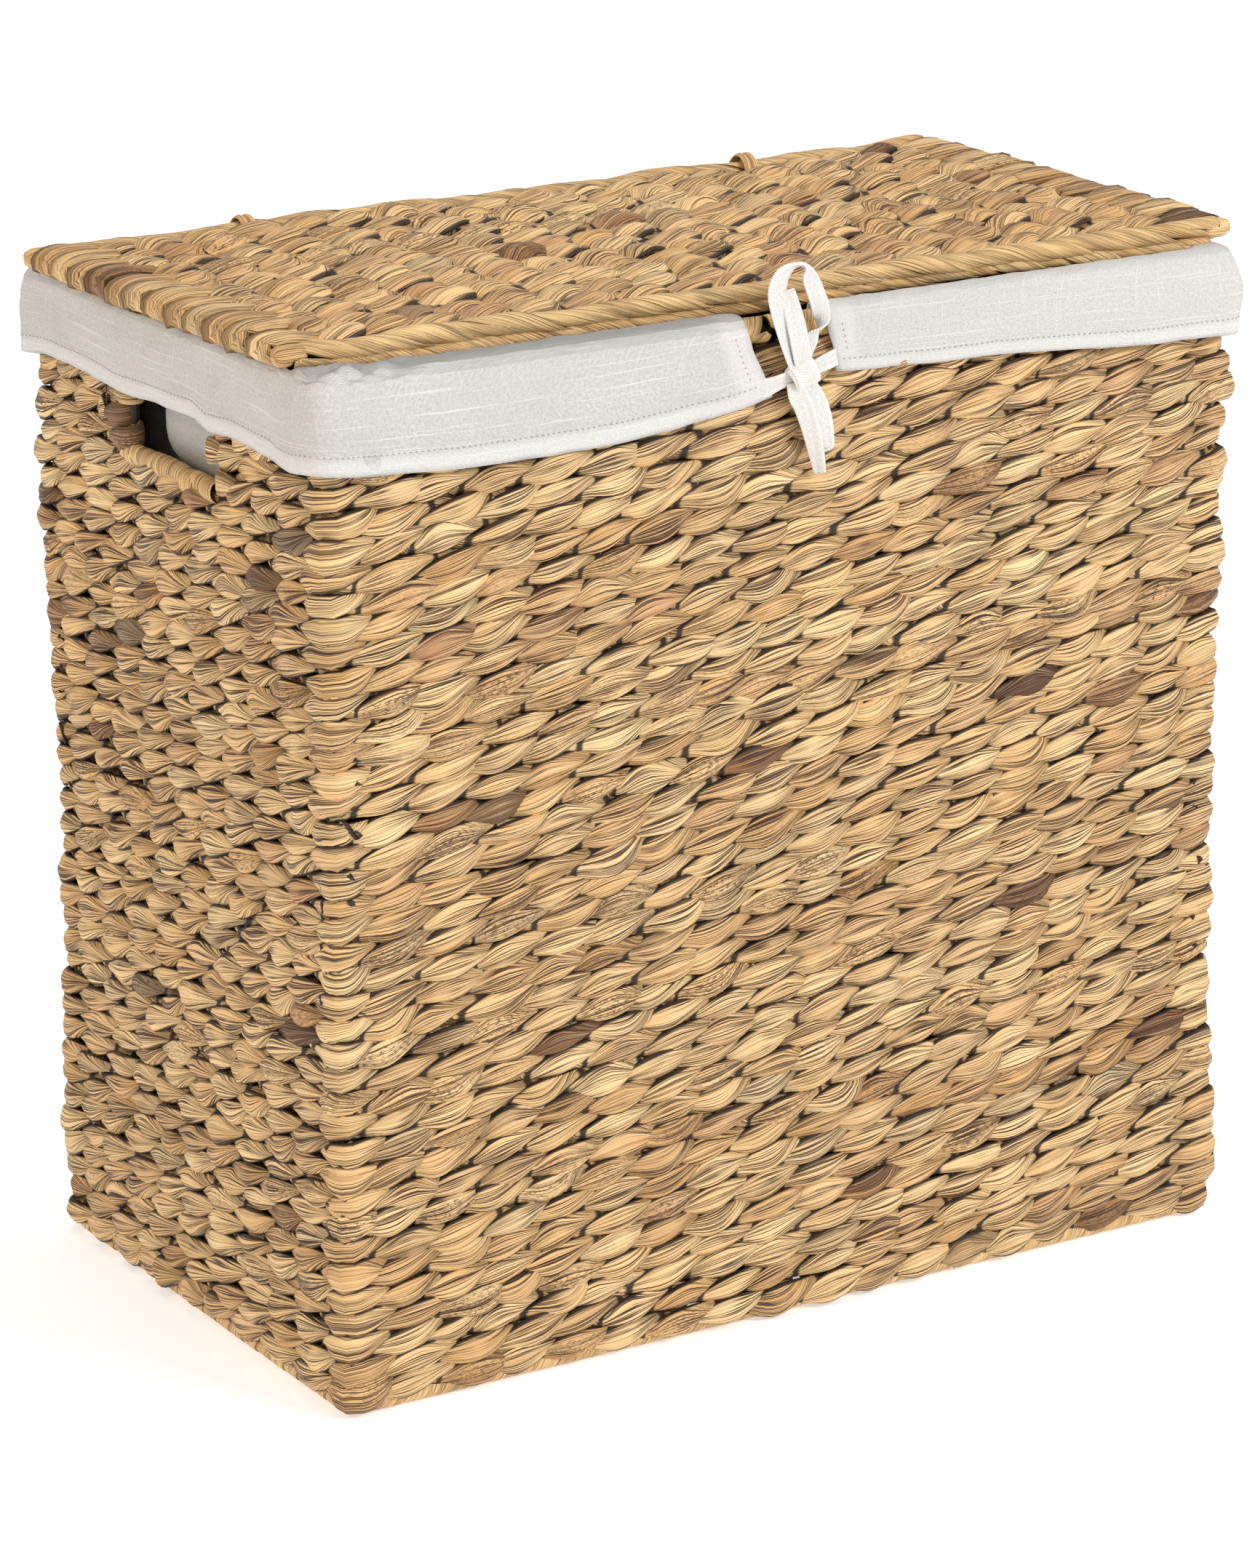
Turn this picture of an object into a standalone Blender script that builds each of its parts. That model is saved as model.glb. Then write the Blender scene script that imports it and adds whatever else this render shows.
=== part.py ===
"""Rectangular woven laundry basket: a steel wire frame twined over with water hyacinth, a hinged woven lid,
and a cotton liner whose cuff folds over the rim and ties in a bow at the front.

Metres, +Z up. The origin is on the floor below the middle of the basket, the front faces -Y, and the length
runs along X. The lid's parent empty is on the hinge axis, along its back border.
"""

import math

import bmesh
import bpy
from mathutils import Vector

# Driving dimensions of the basket.
BODY_LENGTH = 0.555
BODY_DEPTH = 0.328
RIM_TOP = 0.550
WALL = 0.014
CORNER_RADIUS = 0.010  # on the middle line of the wall; more than WALL / 2 + CUFF_LIP
GAP = 0.0003  # between pieces that touch
BASE_WRAP_HEIGHT = 0.012
BASE_THICKNESS = 0.0148
BASE_CORNER_RADIUS = 0.003

# Frame wires.
WIRE_RADIUS = 0.002
WIRE_CLEARANCE = 0.0004
HOOP_X = BODY_LENGTH / 6  # hoops that run down the front, under the base and up the back
HOOP_Y = 0.056  # hoops that run down one end, under the base and up the other
HOOP_BEND = 0.006
HOOP_DEPTH = 0.0045  # of a hoop's wire below or above the faces of the base
CHANNEL_OVERRUN = 0.01

# Handle cut-outs in the two ends.
HANDLE_HALF_WIDTH = 0.048
HANDLE_BOTTOM = 0.4625
HANDLE_TOP = 0.524
HANDLE_WRAP_APOTHEM = 0.006

# Lid.
LID_LENGTH = 0.571
LID_DEPTH = 0.294
LID_THICKNESS = 0.013
LID_MIDDLE_Z = 0.5595
LID_WRAP_APOTHEM = 0.006
LID_CROSS_WIRES = 3
HINGE_LOOP_X = 0.160
HINGE_LOOP_WIDTH = 0.008
HINGE_LOOP_INSIDE = 0.0083
HINGE_LOOP_OUTSIDE = 0.0108
HINGE_SLOT_LENGTH = 0.0125
HINGE_SPACE = 0.001

# Liner.
CLOTH = 0.0012
LINER_SPACE = 0.0008  # between the front and back panels and the walls
LINER_LIFT = 0.001  # of the liner's floor above the base
LINER_INSET = 0.021  # how far the end panels hang inside the walls, behind the handles
LINER_SHOULDER_Z = 0.515
CUFF_BOTTOM = 0.504
CUFF_STANDOFF = 0.0016
CUFF_CLOTH = 0.0010
CUFF_LIP = 0.002  # of the cuff inside the walls
CUFF_FRONT_GAP = (-0.0265, 0.0185)  # the slit that the ties close

# Bow, on the front of the cuff.
BOW_X = -0.001
KNOT_Z = 0.5205
KNOT_SIZE = (0.018, 0.008, 0.016)
RIBBON = 0.0095
RIBBON_THICKNESS = 0.0015
BOW_DEPTH = 0.003
BOW_BAND = 0.004
UPPER_LOOP_SIZE = (0.034, 0.051)
LOWER_LOOP_SIZE = (0.022, 0.035)
UPPER_TAIL_LENGTH = 0.036
LOWER_TAIL_LENGTH = 0.046
TIE_OVERLAP = 0.004  # of a tie over its flap of the cuff

# Worked out from the above.
MID_X = BODY_LENGTH / 2 - WALL / 2
MID_Y = BODY_DEPTH / 2 - WALL / 2
INNER_X = MID_X - WALL / 2
INNER_Y = MID_Y - WALL / 2
WALL_BOTTOM = BASE_WRAP_HEIGHT + GAP
WALL_TOP = RIM_TOP - WALL - GAP
RIM_Z = RIM_TOP - WALL / 2
BASE_BOTTOM = WALL_BOTTOM
BASE_TOP = BASE_BOTTOM + BASE_THICKNESS
FRONT_HOOP_Z = BASE_BOTTOM + HOOP_DEPTH
END_HOOP_Z = BASE_TOP - HOOP_DEPTH
HINGE_Y = LID_DEPTH / 2 - LID_WRAP_APOTHEM
LID_WRAP_INNER = LID_DEPTH / 2 - 2 * LID_WRAP_APOTHEM - GAP
CUFF_TOP = RIM_TOP + GAP + CUFF_CLOTH
CUFF_OUTER_Y = BODY_DEPTH / 2 + CUFF_STANDOFF + CUFF_CLOTH
SIDES = 8


def material(name, colour, roughness, metallic=0.0):
    made = bpy.data.materials.new(name)
    made.use_nodes = True
    shader = made.node_tree.nodes["Principled BSDF"]
    shader.inputs["Base Color"].default_value = (*colour, 1.0)
    shader.inputs["Roughness"].default_value = roughness
    shader.inputs["Metallic"].default_value = metallic
    return made


def add_object(name, bm, surface, parent=None):
    """Put a bmesh, whose points are in world space, in the scene as an object under its parent."""
    bmesh.ops.recalc_face_normals(bm, faces=bm.faces)
    if parent:
        bmesh.ops.translate(bm, vec=-parent.location, verts=bm.verts)
    mesh = bpy.data.meshes.new(name)
    bm.to_mesh(mesh)
    bm.free()
    made = bpy.data.objects.new(name, mesh)
    bpy.context.scene.collection.objects.link(made)
    made.parent = parent
    if surface:
        mesh.materials.append(surface)
    return made


def regular_section(apothem, sides=SIDES):
    """A regular polygon with a flat side at the bottom, as (across, up) points."""
    radius = apothem / math.cos(math.pi / sides)
    turns = [(i + 0.5) * 2 * math.pi / sides for i in range(sides)]
    return [(radius * math.cos(t), radius * math.sin(t)) for t in turns]


def rectangle(low, high):
    return [(low[0], low[1]), (high[0], low[1]), (high[0], high[1]), (low[0], high[1])]


def rounded_rectangle(half_x, half_y, radius, steps=4):
    """Points of a rounded rectangle and the outward direction at each, anticlockwise from the +X side."""
    points = []
    for quarter, (sx, sy) in enumerate([(1, 1), (-1, 1), (-1, -1), (1, -1)]):
        for step in range(steps + 1):
            turn = (quarter + step / steps) * math.pi / 2
            out = (math.cos(turn), math.sin(turn))
            centre = (sx * (half_x - radius), sy * (half_y - radius))
            points.append(((centre[0] + radius * out[0], centre[1] + radius * out[1]), out))
    return points


def swept_ring(half_x, half_y, radius, section):
    """A closed ring: the section's (outward, up) points carried round a rounded rectangle."""
    bm = bmesh.new()
    rings = []
    for (x, y), (out_x, out_y) in rounded_rectangle(half_x, half_y, radius):
        rings.append([bm.verts.new((x + u * out_x, y + u * out_y, z)) for u, z in section])
    for i, ring in enumerate(rings):
        following = rings[(i + 1) % len(rings)]
        for j in range(len(section)):
            k = (j + 1) % len(section)
            bm.faces.new((ring[j], ring[k], following[k], following[j]))
    return bm


def swept_tube(points, radius, sides=SIDES):
    """A round bar along a path of straight stretches, with flat ends and mitred bends."""
    bm = bmesh.new()
    points = [Vector(p) for p in points]
    rings = []
    side = None
    for i, point in enumerate(points):
        before = (point - points[i - 1]).normalized() if i else None
        after = (points[i + 1] - point).normalized() if i + 1 < len(points) else None
        along = ((before or after) + (after or before)).normalized()
        if side is None:
            side = along.orthogonal().normalized()
        side = (side - along * side.dot(along)).normalized()
        other = along.cross(side)
        turns = [(k + 0.5) * 2 * math.pi / sides for k in range(sides)]
        spokes = [math.cos(t) * side + math.sin(t) * other for t in turns]
        rings.append([bm.verts.new(point + radius * spoke) for spoke in spokes])
    for ring, following in zip(rings, rings[1:]):
        for k in range(sides):
            bm.faces.new((ring[k], ring[(k + 1) % sides], following[(k + 1) % sides], following[k]))
    bm.faces.new(rings[0])
    bm.faces.new(rings[-1])
    return bm


def extruded(outlines, low, high, axis):
    """A plate between low and high on an axis. The first outline is its edge and the others are holes."""
    place = {
        "X": lambda u, v, w: (w, u, v),
        "Y": lambda u, v, w: (u, w, v),
        "Z": lambda u, v, w: (u, v, w),
    }[axis]
    bm = bmesh.new()
    edges = []
    for outline in outlines:
        verts = [bm.verts.new(place(u, v, low)) for u, v in outline]
        edges += [bm.edges.new((verts[i - 1], verts[i])) for i in range(len(verts))]
    filled = bmesh.ops.triangle_fill(bm, edges=edges, use_beauty=True)["geom"]
    faces = [f for f in filled if isinstance(f, bmesh.types.BMFace)]
    raised = bmesh.ops.extrude_face_region(bm, geom=faces, use_keep_orig=True)["geom"]
    moved = [v for v in raised if isinstance(v, bmesh.types.BMVert)]
    bmesh.ops.translate(bm, vec=Vector(place(0, 0, high - low)), verts=moved)
    return bm


def box(low, high):
    return extruded([rectangle(low[:2], high[:2])], low[2], high[2], "Z")


def cutter(name, bm):
    """A hidden shape that only cuts others."""
    made = add_object(name, bm, None)
    made.hide_render = True
    made.display_type = "WIRE"
    return made


def cut(piece, shape, operation="DIFFERENCE"):
    made = piece.modifiers.new(shape.name, "BOOLEAN")
    made.operation = operation
    made.object = shape
    made.solver = "EXACT"


def hoop_path(reach, bottom, place, top):
    """A U: down one wall, across the base and up the opposite wall, with eased corners."""
    bend = HOOP_BEND
    half = [(reach, top), (reach, bottom + bend), (reach - 0.3 * bend, bottom + 0.3 * bend)]
    half += [(reach - bend, bottom)]
    outline = half + [(-u, z) for u, z in reversed(half)]
    return [place(u, z) for u, z in outline]


def wire_ring(half_x, half_y, radius, z, thickness):
    section = [(u, z + v) for u, v in regular_section(thickness)]
    return swept_ring(half_x, half_y, radius, section)


def make_wires(steel):
    """The welded frame, wire by wire, and a channel cutter for each."""
    post_x = MID_X - CORNER_RADIUS * (1 - math.sqrt(0.5))
    post_y = MID_Y - CORNER_RADIUS * (1 - math.sqrt(0.5))
    paths = {}
    for front_back, sy in (("front", -1), ("back", 1)):
        for left_right, sx in (("left", -1), ("right", 1)):
            x, y = sx * post_x, sy * post_y
            name = f"corner_post_{front_back}_{left_right}"
            paths[name] = [(x, y, WALL_BOTTOM), (x, y, WALL_TOP)]
    for left_right, sx in (("left", -1), ("right", 1)):
        x = sx * HOOP_X
        paths[f"side_hoop_{left_right}"] = hoop_path(
            MID_Y, FRONT_HOOP_Z, lambda u, z, x=x: (x, u, z), WALL_TOP
        )
    for front_back, sy in (("front", -1), ("back", 1)):
        y = sy * HOOP_Y
        paths[f"end_hoop_{front_back}"] = hoop_path(
            MID_X, END_HOOP_Z, lambda u, z, y=y: (u, y, z), WALL_TOP
        )
    channels = {}
    overrun = {WALL_TOP: CHANNEL_OVERRUN, WALL_BOTTOM: -CHANNEL_OVERRUN}
    for name, path in paths.items():
        add_object(name, swept_tube(path, WIRE_RADIUS), steel)
        longer = [(x, y, z + overrun.get(z, 0)) for x, y, z in path]
        channels[name] = cutter(f"channel_{name}", swept_tube(longer, WIRE_RADIUS + WIRE_CLEARANCE))
    for name, z in (("rim_wire", RIM_Z), ("base_wire", BASE_WRAP_HEIGHT / 2)):
        ring = (MID_X, MID_Y, CORNER_RADIUS, z)
        add_object(name, wire_ring(*ring, WIRE_RADIUS), steel)
        channels[name] = cutter(f"channel_{name}", wire_ring(*ring, WIRE_RADIUS + WIRE_CLEARANCE))
    return channels


def side_regions(split_y, front_gap=(0.0, 0.0)):
    """Boxes that divide a ring into its front, back, left and right stretches."""
    far = 1.0
    near, edge = split_y + GAP / 2, split_y - GAP / 2
    regions = {
        "back": ((-far, near, -far), (far, far, far)),
        "left": ((-far, -edge, -far), (0, edge, far)),
        "right": ((0, -edge, -far), (far, edge, far)),
    }
    if front_gap[0] == front_gap[1]:
        regions["front"] = ((-far, -far, -far), (far, -near, far))
    else:
        regions["front_left"] = ((-far, -far, -far), (front_gap[0], -near, far))
        regions["front_right"] = ((front_gap[1], -far, -far), (far, -near, far))
    return regions


def split_ring(suffix, section, regions, surface, radius=CORNER_RADIUS):
    """A ring round the basket, divided into one object for each region."""
    pieces = {}
    for side, (low, high) in regions.items():
        ring = swept_ring(MID_X, MID_Y, radius, section)
        pieces[side] = add_object(suffix.format(side), ring, surface)
        cut(pieces[side], cutter(f"region_{suffix.format(side)}", box(low, high)), "INTERSECT")
    return pieces


def make_weave(straw, channels, loop_spaces):
    """The twined walls and base, and the wrapped bands at the rim and the foot."""
    regions = side_regions(INNER_Y)
    half = WALL / 2
    walls = split_ring(
        "{}_weave", rectangle((-half, WALL_BOTTOM), (half, WALL_TOP)), regions, straw
    )
    for side, wall in walls.items():
        for name, channel in channels.items():
            crosses_ends = name.startswith("end_hoop") and side in ("left", "right")
            crosses_sides = name.startswith("side_hoop") and side in ("front", "back")
            if crosses_ends or crosses_sides or name.startswith(f"corner_post_{side}"):
                cut(wall, channel)
    hole = cutter(
        "handle_holes",
        box((-1, -HANDLE_HALF_WIDTH, HANDLE_BOTTOM), (1, HANDLE_HALF_WIDTH, HANDLE_TOP)),
    )
    cut(walls["left"], hole)
    cut(walls["right"], hole)
    for space in loop_spaces:
        cut(walls["back"], space)
    rim = [(u, RIM_Z + v) for u, v in regular_section(half)]
    for piece in split_ring("rim_wrap_{}", rim, regions, straw).values():
        cut(piece, channels["rim_wire"])
    foot = BASE_WRAP_HEIGHT / 2
    base = [(u, foot + v) for u, v in regular_section(foot)]
    for piece in split_ring("base_wrap_{}", base, regions, straw).values():
        cut(piece, channels["base_wire"])
    outline = [p for p, _ in rounded_rectangle(INNER_X - GAP, INNER_Y - GAP, BASE_CORNER_RADIUS)]
    floor = add_object("base_weave", extruded([outline], BASE_BOTTOM, BASE_TOP, "Z"), straw)
    for name, channel in channels.items():
        if "hoop" in name:
            cut(floor, channel)


def make_handles(straw, steel):
    """A wrapped wire along the lower edge of each handle cut-out."""
    z = HANDLE_BOTTOM + GAP + HANDLE_WRAP_APOTHEM
    half = HANDLE_HALF_WIDTH - GAP
    hole = regular_section(WIRE_RADIUS + WIRE_CLEARANCE)
    for side, x in (("left", -MID_X), ("right", MID_X)):
        outlines = [
            [(x + u, z + v) for u, v in section]
            for section in (regular_section(HANDLE_WRAP_APOTHEM), hole)
        ]
        add_object(f"handle_wrap_{side}", extruded(outlines, -half, half, "Y"), straw)
        wire = [(x, -half, z), (x, half, z)]
        add_object(f"handle_wire_{side}", swept_tube(wire, WIRE_RADIUS), steel)


def make_liner(cotton, loop_spaces):
    """The bag's five panels, and the cuff that its upper ends fold out into."""
    floor_top = BASE_TOP + LINER_LIFT + CLOTH
    panel_top = RIM_TOP - 0.001
    half_x = INNER_X - LINER_INSET
    face_y = INNER_Y - LINER_SPACE
    add_object(
        "liner_base",
        box((-half_x, -face_y, floor_top - CLOTH), (half_x, face_y, floor_top)),
        cotton,
    )
    for side, s in (("front", -1), ("back", 1)):
        near, far = sorted((s * face_y, s * (face_y - CLOTH)))
        low = (-half_x, near, floor_top + GAP)
        high = (half_x, far, panel_top)
        panel = add_object(f"liner_{side}", box(low, high), cotton)
        if side == "back":
            for space in loop_spaces:
                cut(panel, space)
    half_y = face_y - CLOTH - GAP
    for side, s in (("left", -1), ("right", 1)):
        outside = [
            (half_x + GAP, floor_top - CLOTH),
            (half_x + GAP, LINER_SHOULDER_Z),
            (INNER_X - 0.001 - CLOTH, panel_top),
        ]
        profile = outside + [(u + CLOTH, z) for u, z in reversed(outside)]
        outline = [(s * u, z) for u, z in profile]
        add_object(f"liner_{side}", extruded([outline], -half_y, half_y, "Y"), cotton)
    outer = WALL / 2 + CUFF_STANDOFF + CUFF_CLOTH
    inner = -WALL / 2 - CUFF_LIP
    section = [
        (inner, RIM_TOP + GAP),
        (outer - CUFF_CLOTH, RIM_TOP + GAP),
        (outer - CUFF_CLOTH, CUFF_BOTTOM),
        (outer, CUFF_BOTTOM),
        (outer, CUFF_TOP),
        (inner, CUFF_TOP),
    ]
    regions = side_regions(INNER_Y - 0.0025, CUFF_FRONT_GAP)
    cuffs = split_ring("cuff_{}", section, regions, cotton)
    for space in loop_spaces:
        cut(cuffs["back"], space)


def ribbon_loop(centre, width, height, band):
    """A drop-shaped loop of ribbon in the XZ plane, as its outer and inner outlines."""
    outlines = []
    for inset in (0.0, band):
        outline = []
        for step in range(12):
            turn = step * math.pi / 6
            narrow = 0.72 + 0.28 * math.sin(turn)
            u = (width / 2 - inset) * math.cos(turn) * narrow
            v = (height / 2 - inset) * math.sin(turn)
            outline.append((centre[0] + u, centre[1] + v))
        outlines.append(outline)
    return outlines


def make_bow(cotton):
    """The two ties, knotted over the slit in the front of the cuff."""
    back_y = -CUFF_OUTER_Y - GAP
    front_y = back_y - KNOT_SIZE[1]
    knot_low = KNOT_Z - KNOT_SIZE[2] / 2
    knot_high = KNOT_Z + KNOT_SIZE[2] / 2
    left, right = BOW_X - KNOT_SIZE[0] / 2, BOW_X + KNOT_SIZE[0] / 2
    add_object("bow_knot", box((left, front_y, knot_low), (right, back_y, knot_high)), cotton)
    tie_low, tie_high = KNOT_Z - RIBBON / 2, KNOT_Z + RIBBON / 2
    thin = back_y - RIBBON_THICKNESS
    ties = (
        ("tie_left", CUFF_FRONT_GAP[0] - TIE_OVERLAP, left - GAP),
        ("tie_right", right + GAP, CUFF_FRONT_GAP[1] + TIE_OVERLAP),
    )
    for name, start, end in ties:
        add_object(name, box((start, thin, tie_low), (end, back_y, tie_high)), cotton)
    loop_y = (front_y, front_y + BOW_DEPTH)
    loops = (
        ("bow_loop_upper", BOW_X - 0.001, knot_high + GAP + UPPER_LOOP_SIZE[1] / 2, UPPER_LOOP_SIZE),
        ("bow_loop_lower", BOW_X + 0.010, knot_low - GAP - LOWER_LOOP_SIZE[1] / 2, LOWER_LOOP_SIZE),
    )
    for name, x, z, (width, height) in loops:
        outlines = ribbon_loop((x, z), width, height, BOW_BAND)
        add_object(name, extruded(outlines, *loop_y, "Y"), cotton)
    tails = (
        ("bow_tail_upper", BOW_X - 0.008, knot_high + GAP, knot_high + UPPER_TAIL_LENGTH),
        ("bow_tail_lower", BOW_X + 0.008, knot_low - LOWER_TAIL_LENGTH, knot_low - GAP),
    )
    for name, x, low, high in tails:
        near = (x - RIBBON / 2, thin, low)
        add_object(name, box(near, (x + RIBBON / 2, back_y, high)), cotton)


def stadium(radius, steps=8):
    """A loop outline in the YZ plane round the lid's back border and the rim's back band."""
    axis = (HINGE_Y, LID_MIDDLE_Z)
    rim = (MID_Y, RIM_Z)
    away = math.atan2(axis[1] - rim[1], axis[0] - rim[0])
    outline = []
    for centre, middle in ((axis, away), (rim, away + math.pi)):
        for step in range(steps + 1):
            turn = middle + (step / steps - 0.5) * math.pi
            out = (math.cos(turn), math.sin(turn))
            outline.append((centre[0] + radius * out[0], centre[1] + radius * out[1]))
    return outline


def make_hinge_loops(straw):
    """Two bands that tie the lid to the rim, and the space each needs in the pieces it passes through."""
    spaces = []
    for side, x in (("left", -HINGE_LOOP_X), ("right", HINGE_LOOP_X)):
        half = HINGE_LOOP_WIDTH / 2
        outlines = [stadium(HINGE_LOOP_OUTSIDE), stadium(HINGE_LOOP_INSIDE)]
        add_object(f"hinge_loop_{side}", extruded(outlines, x - half, x + half, "X"), straw)
        half += HINGE_SPACE
        outlines = [stadium(HINGE_LOOP_OUTSIDE + HINGE_SPACE)]
        spaces.append(cutter(f"hinge_space_{side}", extruded(outlines, x - half, x + half, "X")))
    return spaces


def make_lid(straw, steel):
    """The woven lid with its frame wires and wrapped borders, hung on its back border."""
    hinge = bpy.data.objects.new("lid_hinge", None)
    hinge.location = (0, HINGE_Y, LID_MIDDLE_Z)
    bpy.context.scene.collection.objects.link(hinge)
    half_x = LID_LENGTH / 2
    low, high = LID_MIDDLE_Z - LID_THICKNESS / 2, LID_MIDDLE_Z + LID_THICKNESS / 2
    outline = rectangle((-half_x, -LID_WRAP_INNER), (half_x, LID_WRAP_INNER))
    panel = add_object("lid_weave", extruded([outline], low, high, "Z"), straw, hinge)
    ring = (half_x - LID_THICKNESS / 2, HINGE_Y, CORNER_RADIUS, LID_MIDDLE_Z)
    add_object("lid_frame_wire", wire_ring(*ring, WIRE_RADIUS), steel, hinge)
    channel = cutter("channel_lid_frame", wire_ring(*ring, WIRE_RADIUS + WIRE_CLEARANCE))
    cut(panel, channel)
    for side, y in (("front", -HINGE_Y), ("back", HINGE_Y)):
        section = [(y + u, LID_MIDDLE_Z + v) for u, v in regular_section(LID_WRAP_APOTHEM)]
        bar = extruded([section], -half_x, half_x, "X")
        cut(add_object(f"lid_border_{side}", bar, straw, hinge), channel)
    reach = HINGE_Y - WIRE_RADIUS - WIRE_CLEARANCE - 0.001
    for number in range(LID_CROSS_WIRES):
        x = LID_LENGTH * ((number + 1) / (LID_CROSS_WIRES + 1) - 0.5)
        wire = [(x, -LID_WRAP_INNER, LID_MIDDLE_Z), (x, LID_WRAP_INNER, LID_MIDDLE_Z)]
        add_object(f"lid_cross_wire_{number + 1}", swept_tube(wire, WIRE_RADIUS), steel, hinge)
        longer = [(x, -reach, LID_MIDDLE_Z), (x, reach, LID_MIDDLE_Z)]
        space = swept_tube(longer, WIRE_RADIUS + WIRE_CLEARANCE)
        cut(panel, cutter(f"channel_lid_{number + 1}", space))
    for side, x in (("left", -HINGE_LOOP_X), ("right", HINGE_LOOP_X)):
        half = HINGE_LOOP_WIDTH / 2 + HINGE_SPACE
        slot = box((x - half, HINGE_Y - HINGE_SLOT_LENGTH, 0), (x + half, HINGE_Y, 1))
        cut(panel, cutter(f"lid_slot_{side}", slot))


def main():
    for old in list(bpy.data.objects):
        bpy.data.objects.remove(old)
    straw = material("water_hyacinth", (0.55, 0.36, 0.17), 0.62)
    cotton = material("liner_cotton", (0.84, 0.82, 0.78), 0.85)
    steel = material("frame_wire", (0.10, 0.10, 0.10), 0.45, 0.8)
    channels = make_wires(steel)
    loop_spaces = make_hinge_loops(straw)
    make_weave(straw, channels, loop_spaces)
    make_handles(straw, steel)
    make_liner(cotton, loop_spaces)
    make_bow(cotton)
    make_lid(straw, steel)


main()
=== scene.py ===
"""The looks of the woven laundry basket: twined water hyacinth, wound borders, a cotton liner and its bow.

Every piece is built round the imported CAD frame. Metres, +Z up, the front faces -Y.
"""

import math

import bmesh
import bpy
import numpy as np
from mathutils import Matrix, Vector


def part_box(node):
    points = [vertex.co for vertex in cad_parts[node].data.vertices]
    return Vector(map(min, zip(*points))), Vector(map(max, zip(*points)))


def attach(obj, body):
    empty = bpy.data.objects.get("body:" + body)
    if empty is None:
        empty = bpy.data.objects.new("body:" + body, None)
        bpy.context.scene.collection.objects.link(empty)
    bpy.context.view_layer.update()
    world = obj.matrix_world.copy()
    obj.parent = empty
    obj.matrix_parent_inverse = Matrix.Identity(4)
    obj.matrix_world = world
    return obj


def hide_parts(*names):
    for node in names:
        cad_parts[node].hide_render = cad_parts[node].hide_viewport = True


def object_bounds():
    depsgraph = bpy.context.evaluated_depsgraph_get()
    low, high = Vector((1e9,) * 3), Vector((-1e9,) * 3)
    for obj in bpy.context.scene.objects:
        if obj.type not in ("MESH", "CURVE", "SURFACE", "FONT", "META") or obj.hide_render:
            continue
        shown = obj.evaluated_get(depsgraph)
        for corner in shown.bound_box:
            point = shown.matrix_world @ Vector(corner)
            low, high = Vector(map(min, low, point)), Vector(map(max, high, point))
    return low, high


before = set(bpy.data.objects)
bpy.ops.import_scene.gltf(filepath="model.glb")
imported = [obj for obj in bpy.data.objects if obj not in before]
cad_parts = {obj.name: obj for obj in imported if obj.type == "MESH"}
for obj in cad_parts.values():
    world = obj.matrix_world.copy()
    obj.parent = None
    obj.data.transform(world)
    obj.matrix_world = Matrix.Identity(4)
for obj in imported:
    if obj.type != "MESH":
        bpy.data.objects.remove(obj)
cad_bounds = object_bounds()

# Camera, from the photograph's perspective.
CAMERA_AZIMUTH = math.radians(-30.94)
CAMERA_ELEVATION = math.radians(17.13)
CAMERA_ROLL = math.radians(-0.59)
CAMERA_DISTANCE = 3.0694
CAMERA_TARGET = Vector((-0.00605, 0.0, 0.25732))
CAMERA_LENS, SENSOR_WIDTH = 128.04, 36.0

# Twining: every row has two strands, and a bump of one or the other over each upright stake.
STAKES_FRONT = 17
STAKES_END = 10
CORNER_STAKES = np.cumsum([0, STAKES_FRONT, STAKES_END, STAKES_FRONT, STAKES_END]).astype(float)
STAKES_ROUND = 2 * (STAKES_FRONT + STAKES_END)
ROW_HEIGHT = 0.0134
ROWS_PER_PIECE = 3
CORNER_RADIUS = 0.003
LID_ROWS = 12
LID_STAKES = 19
BASE_ROWS = 14
BASE_STAKES = 17

SEED = 20

rng = np.random.default_rng(SEED)


# ---------------------------------------------------------------- meshes


def link(name, data):
    """A new object in the scene."""
    made = bpy.data.objects.new(name, data)
    bpy.context.scene.collection.objects.link(made)
    return made


def add_mesh(name, points, faces, material, attributes):
    """A smooth mesh object from points (n, 3) and quads (m, 4). Each attribute is a vector at each point."""
    mesh = bpy.data.meshes.new(name)
    mesh.vertices.add(len(points))
    mesh.vertices.foreach_set("co", np.ascontiguousarray(points, np.float32).ravel())
    mesh.loops.add(faces.size)
    mesh.loops.foreach_set("vertex_index", np.ascontiguousarray(faces, np.int32).ravel())
    mesh.polygons.add(len(faces))
    mesh.polygons.foreach_set("loop_start", np.arange(len(faces), dtype=np.int32) * faces.shape[1])
    mesh.update(calc_edges=True)
    mesh.shade_smooth()
    for key, values in attributes.items():
        layer = mesh.attributes.new(key, "FLOAT_VECTOR", "POINT")
        layer.data.foreach_set("vector", np.ascontiguousarray(values, np.float32).ravel())
    mesh.materials.append(material)
    return link(name, mesh)


def tube_faces(rings, sides, closed):
    """Quads of a tube whose points run ring by ring."""
    here = np.arange(rings if closed else rings - 1)[:, None] * sides
    i = np.arange(sides)[None, :]
    ahead = (here + sides) % (rings * sides)
    j = (i + 1) % sides
    return np.stack([here + i, ahead + i, ahead + j, here + j], -1).reshape(-1, 4)


def unit(v):
    return v / np.maximum(np.linalg.norm(v, axis=-1, keepdims=True), 1e-12)


def distances(path):
    """How far along a path each of its points is."""
    return np.concatenate([[0], np.cumsum(np.linalg.norm(np.diff(path, axis=0), axis=1))])


def together(shape, *parts):
    """A vector at each point of a grid of this shape, from its three parts."""
    return np.stack([np.broadcast_to(part, shape) for part in parts], -1)


def swept(path, across, over, radial, out):
    """A grid of points along a path, from how far each is across it and outwards."""
    return path[:, None] + across[:, None] * over[..., None] + radial[:, None] * out[..., None]


def close_ends(points):
    """Draws the first and the last ring of a grid together into a point."""
    for ring in (0, -1):
        points[ring] = points[ring].mean(0)


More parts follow.
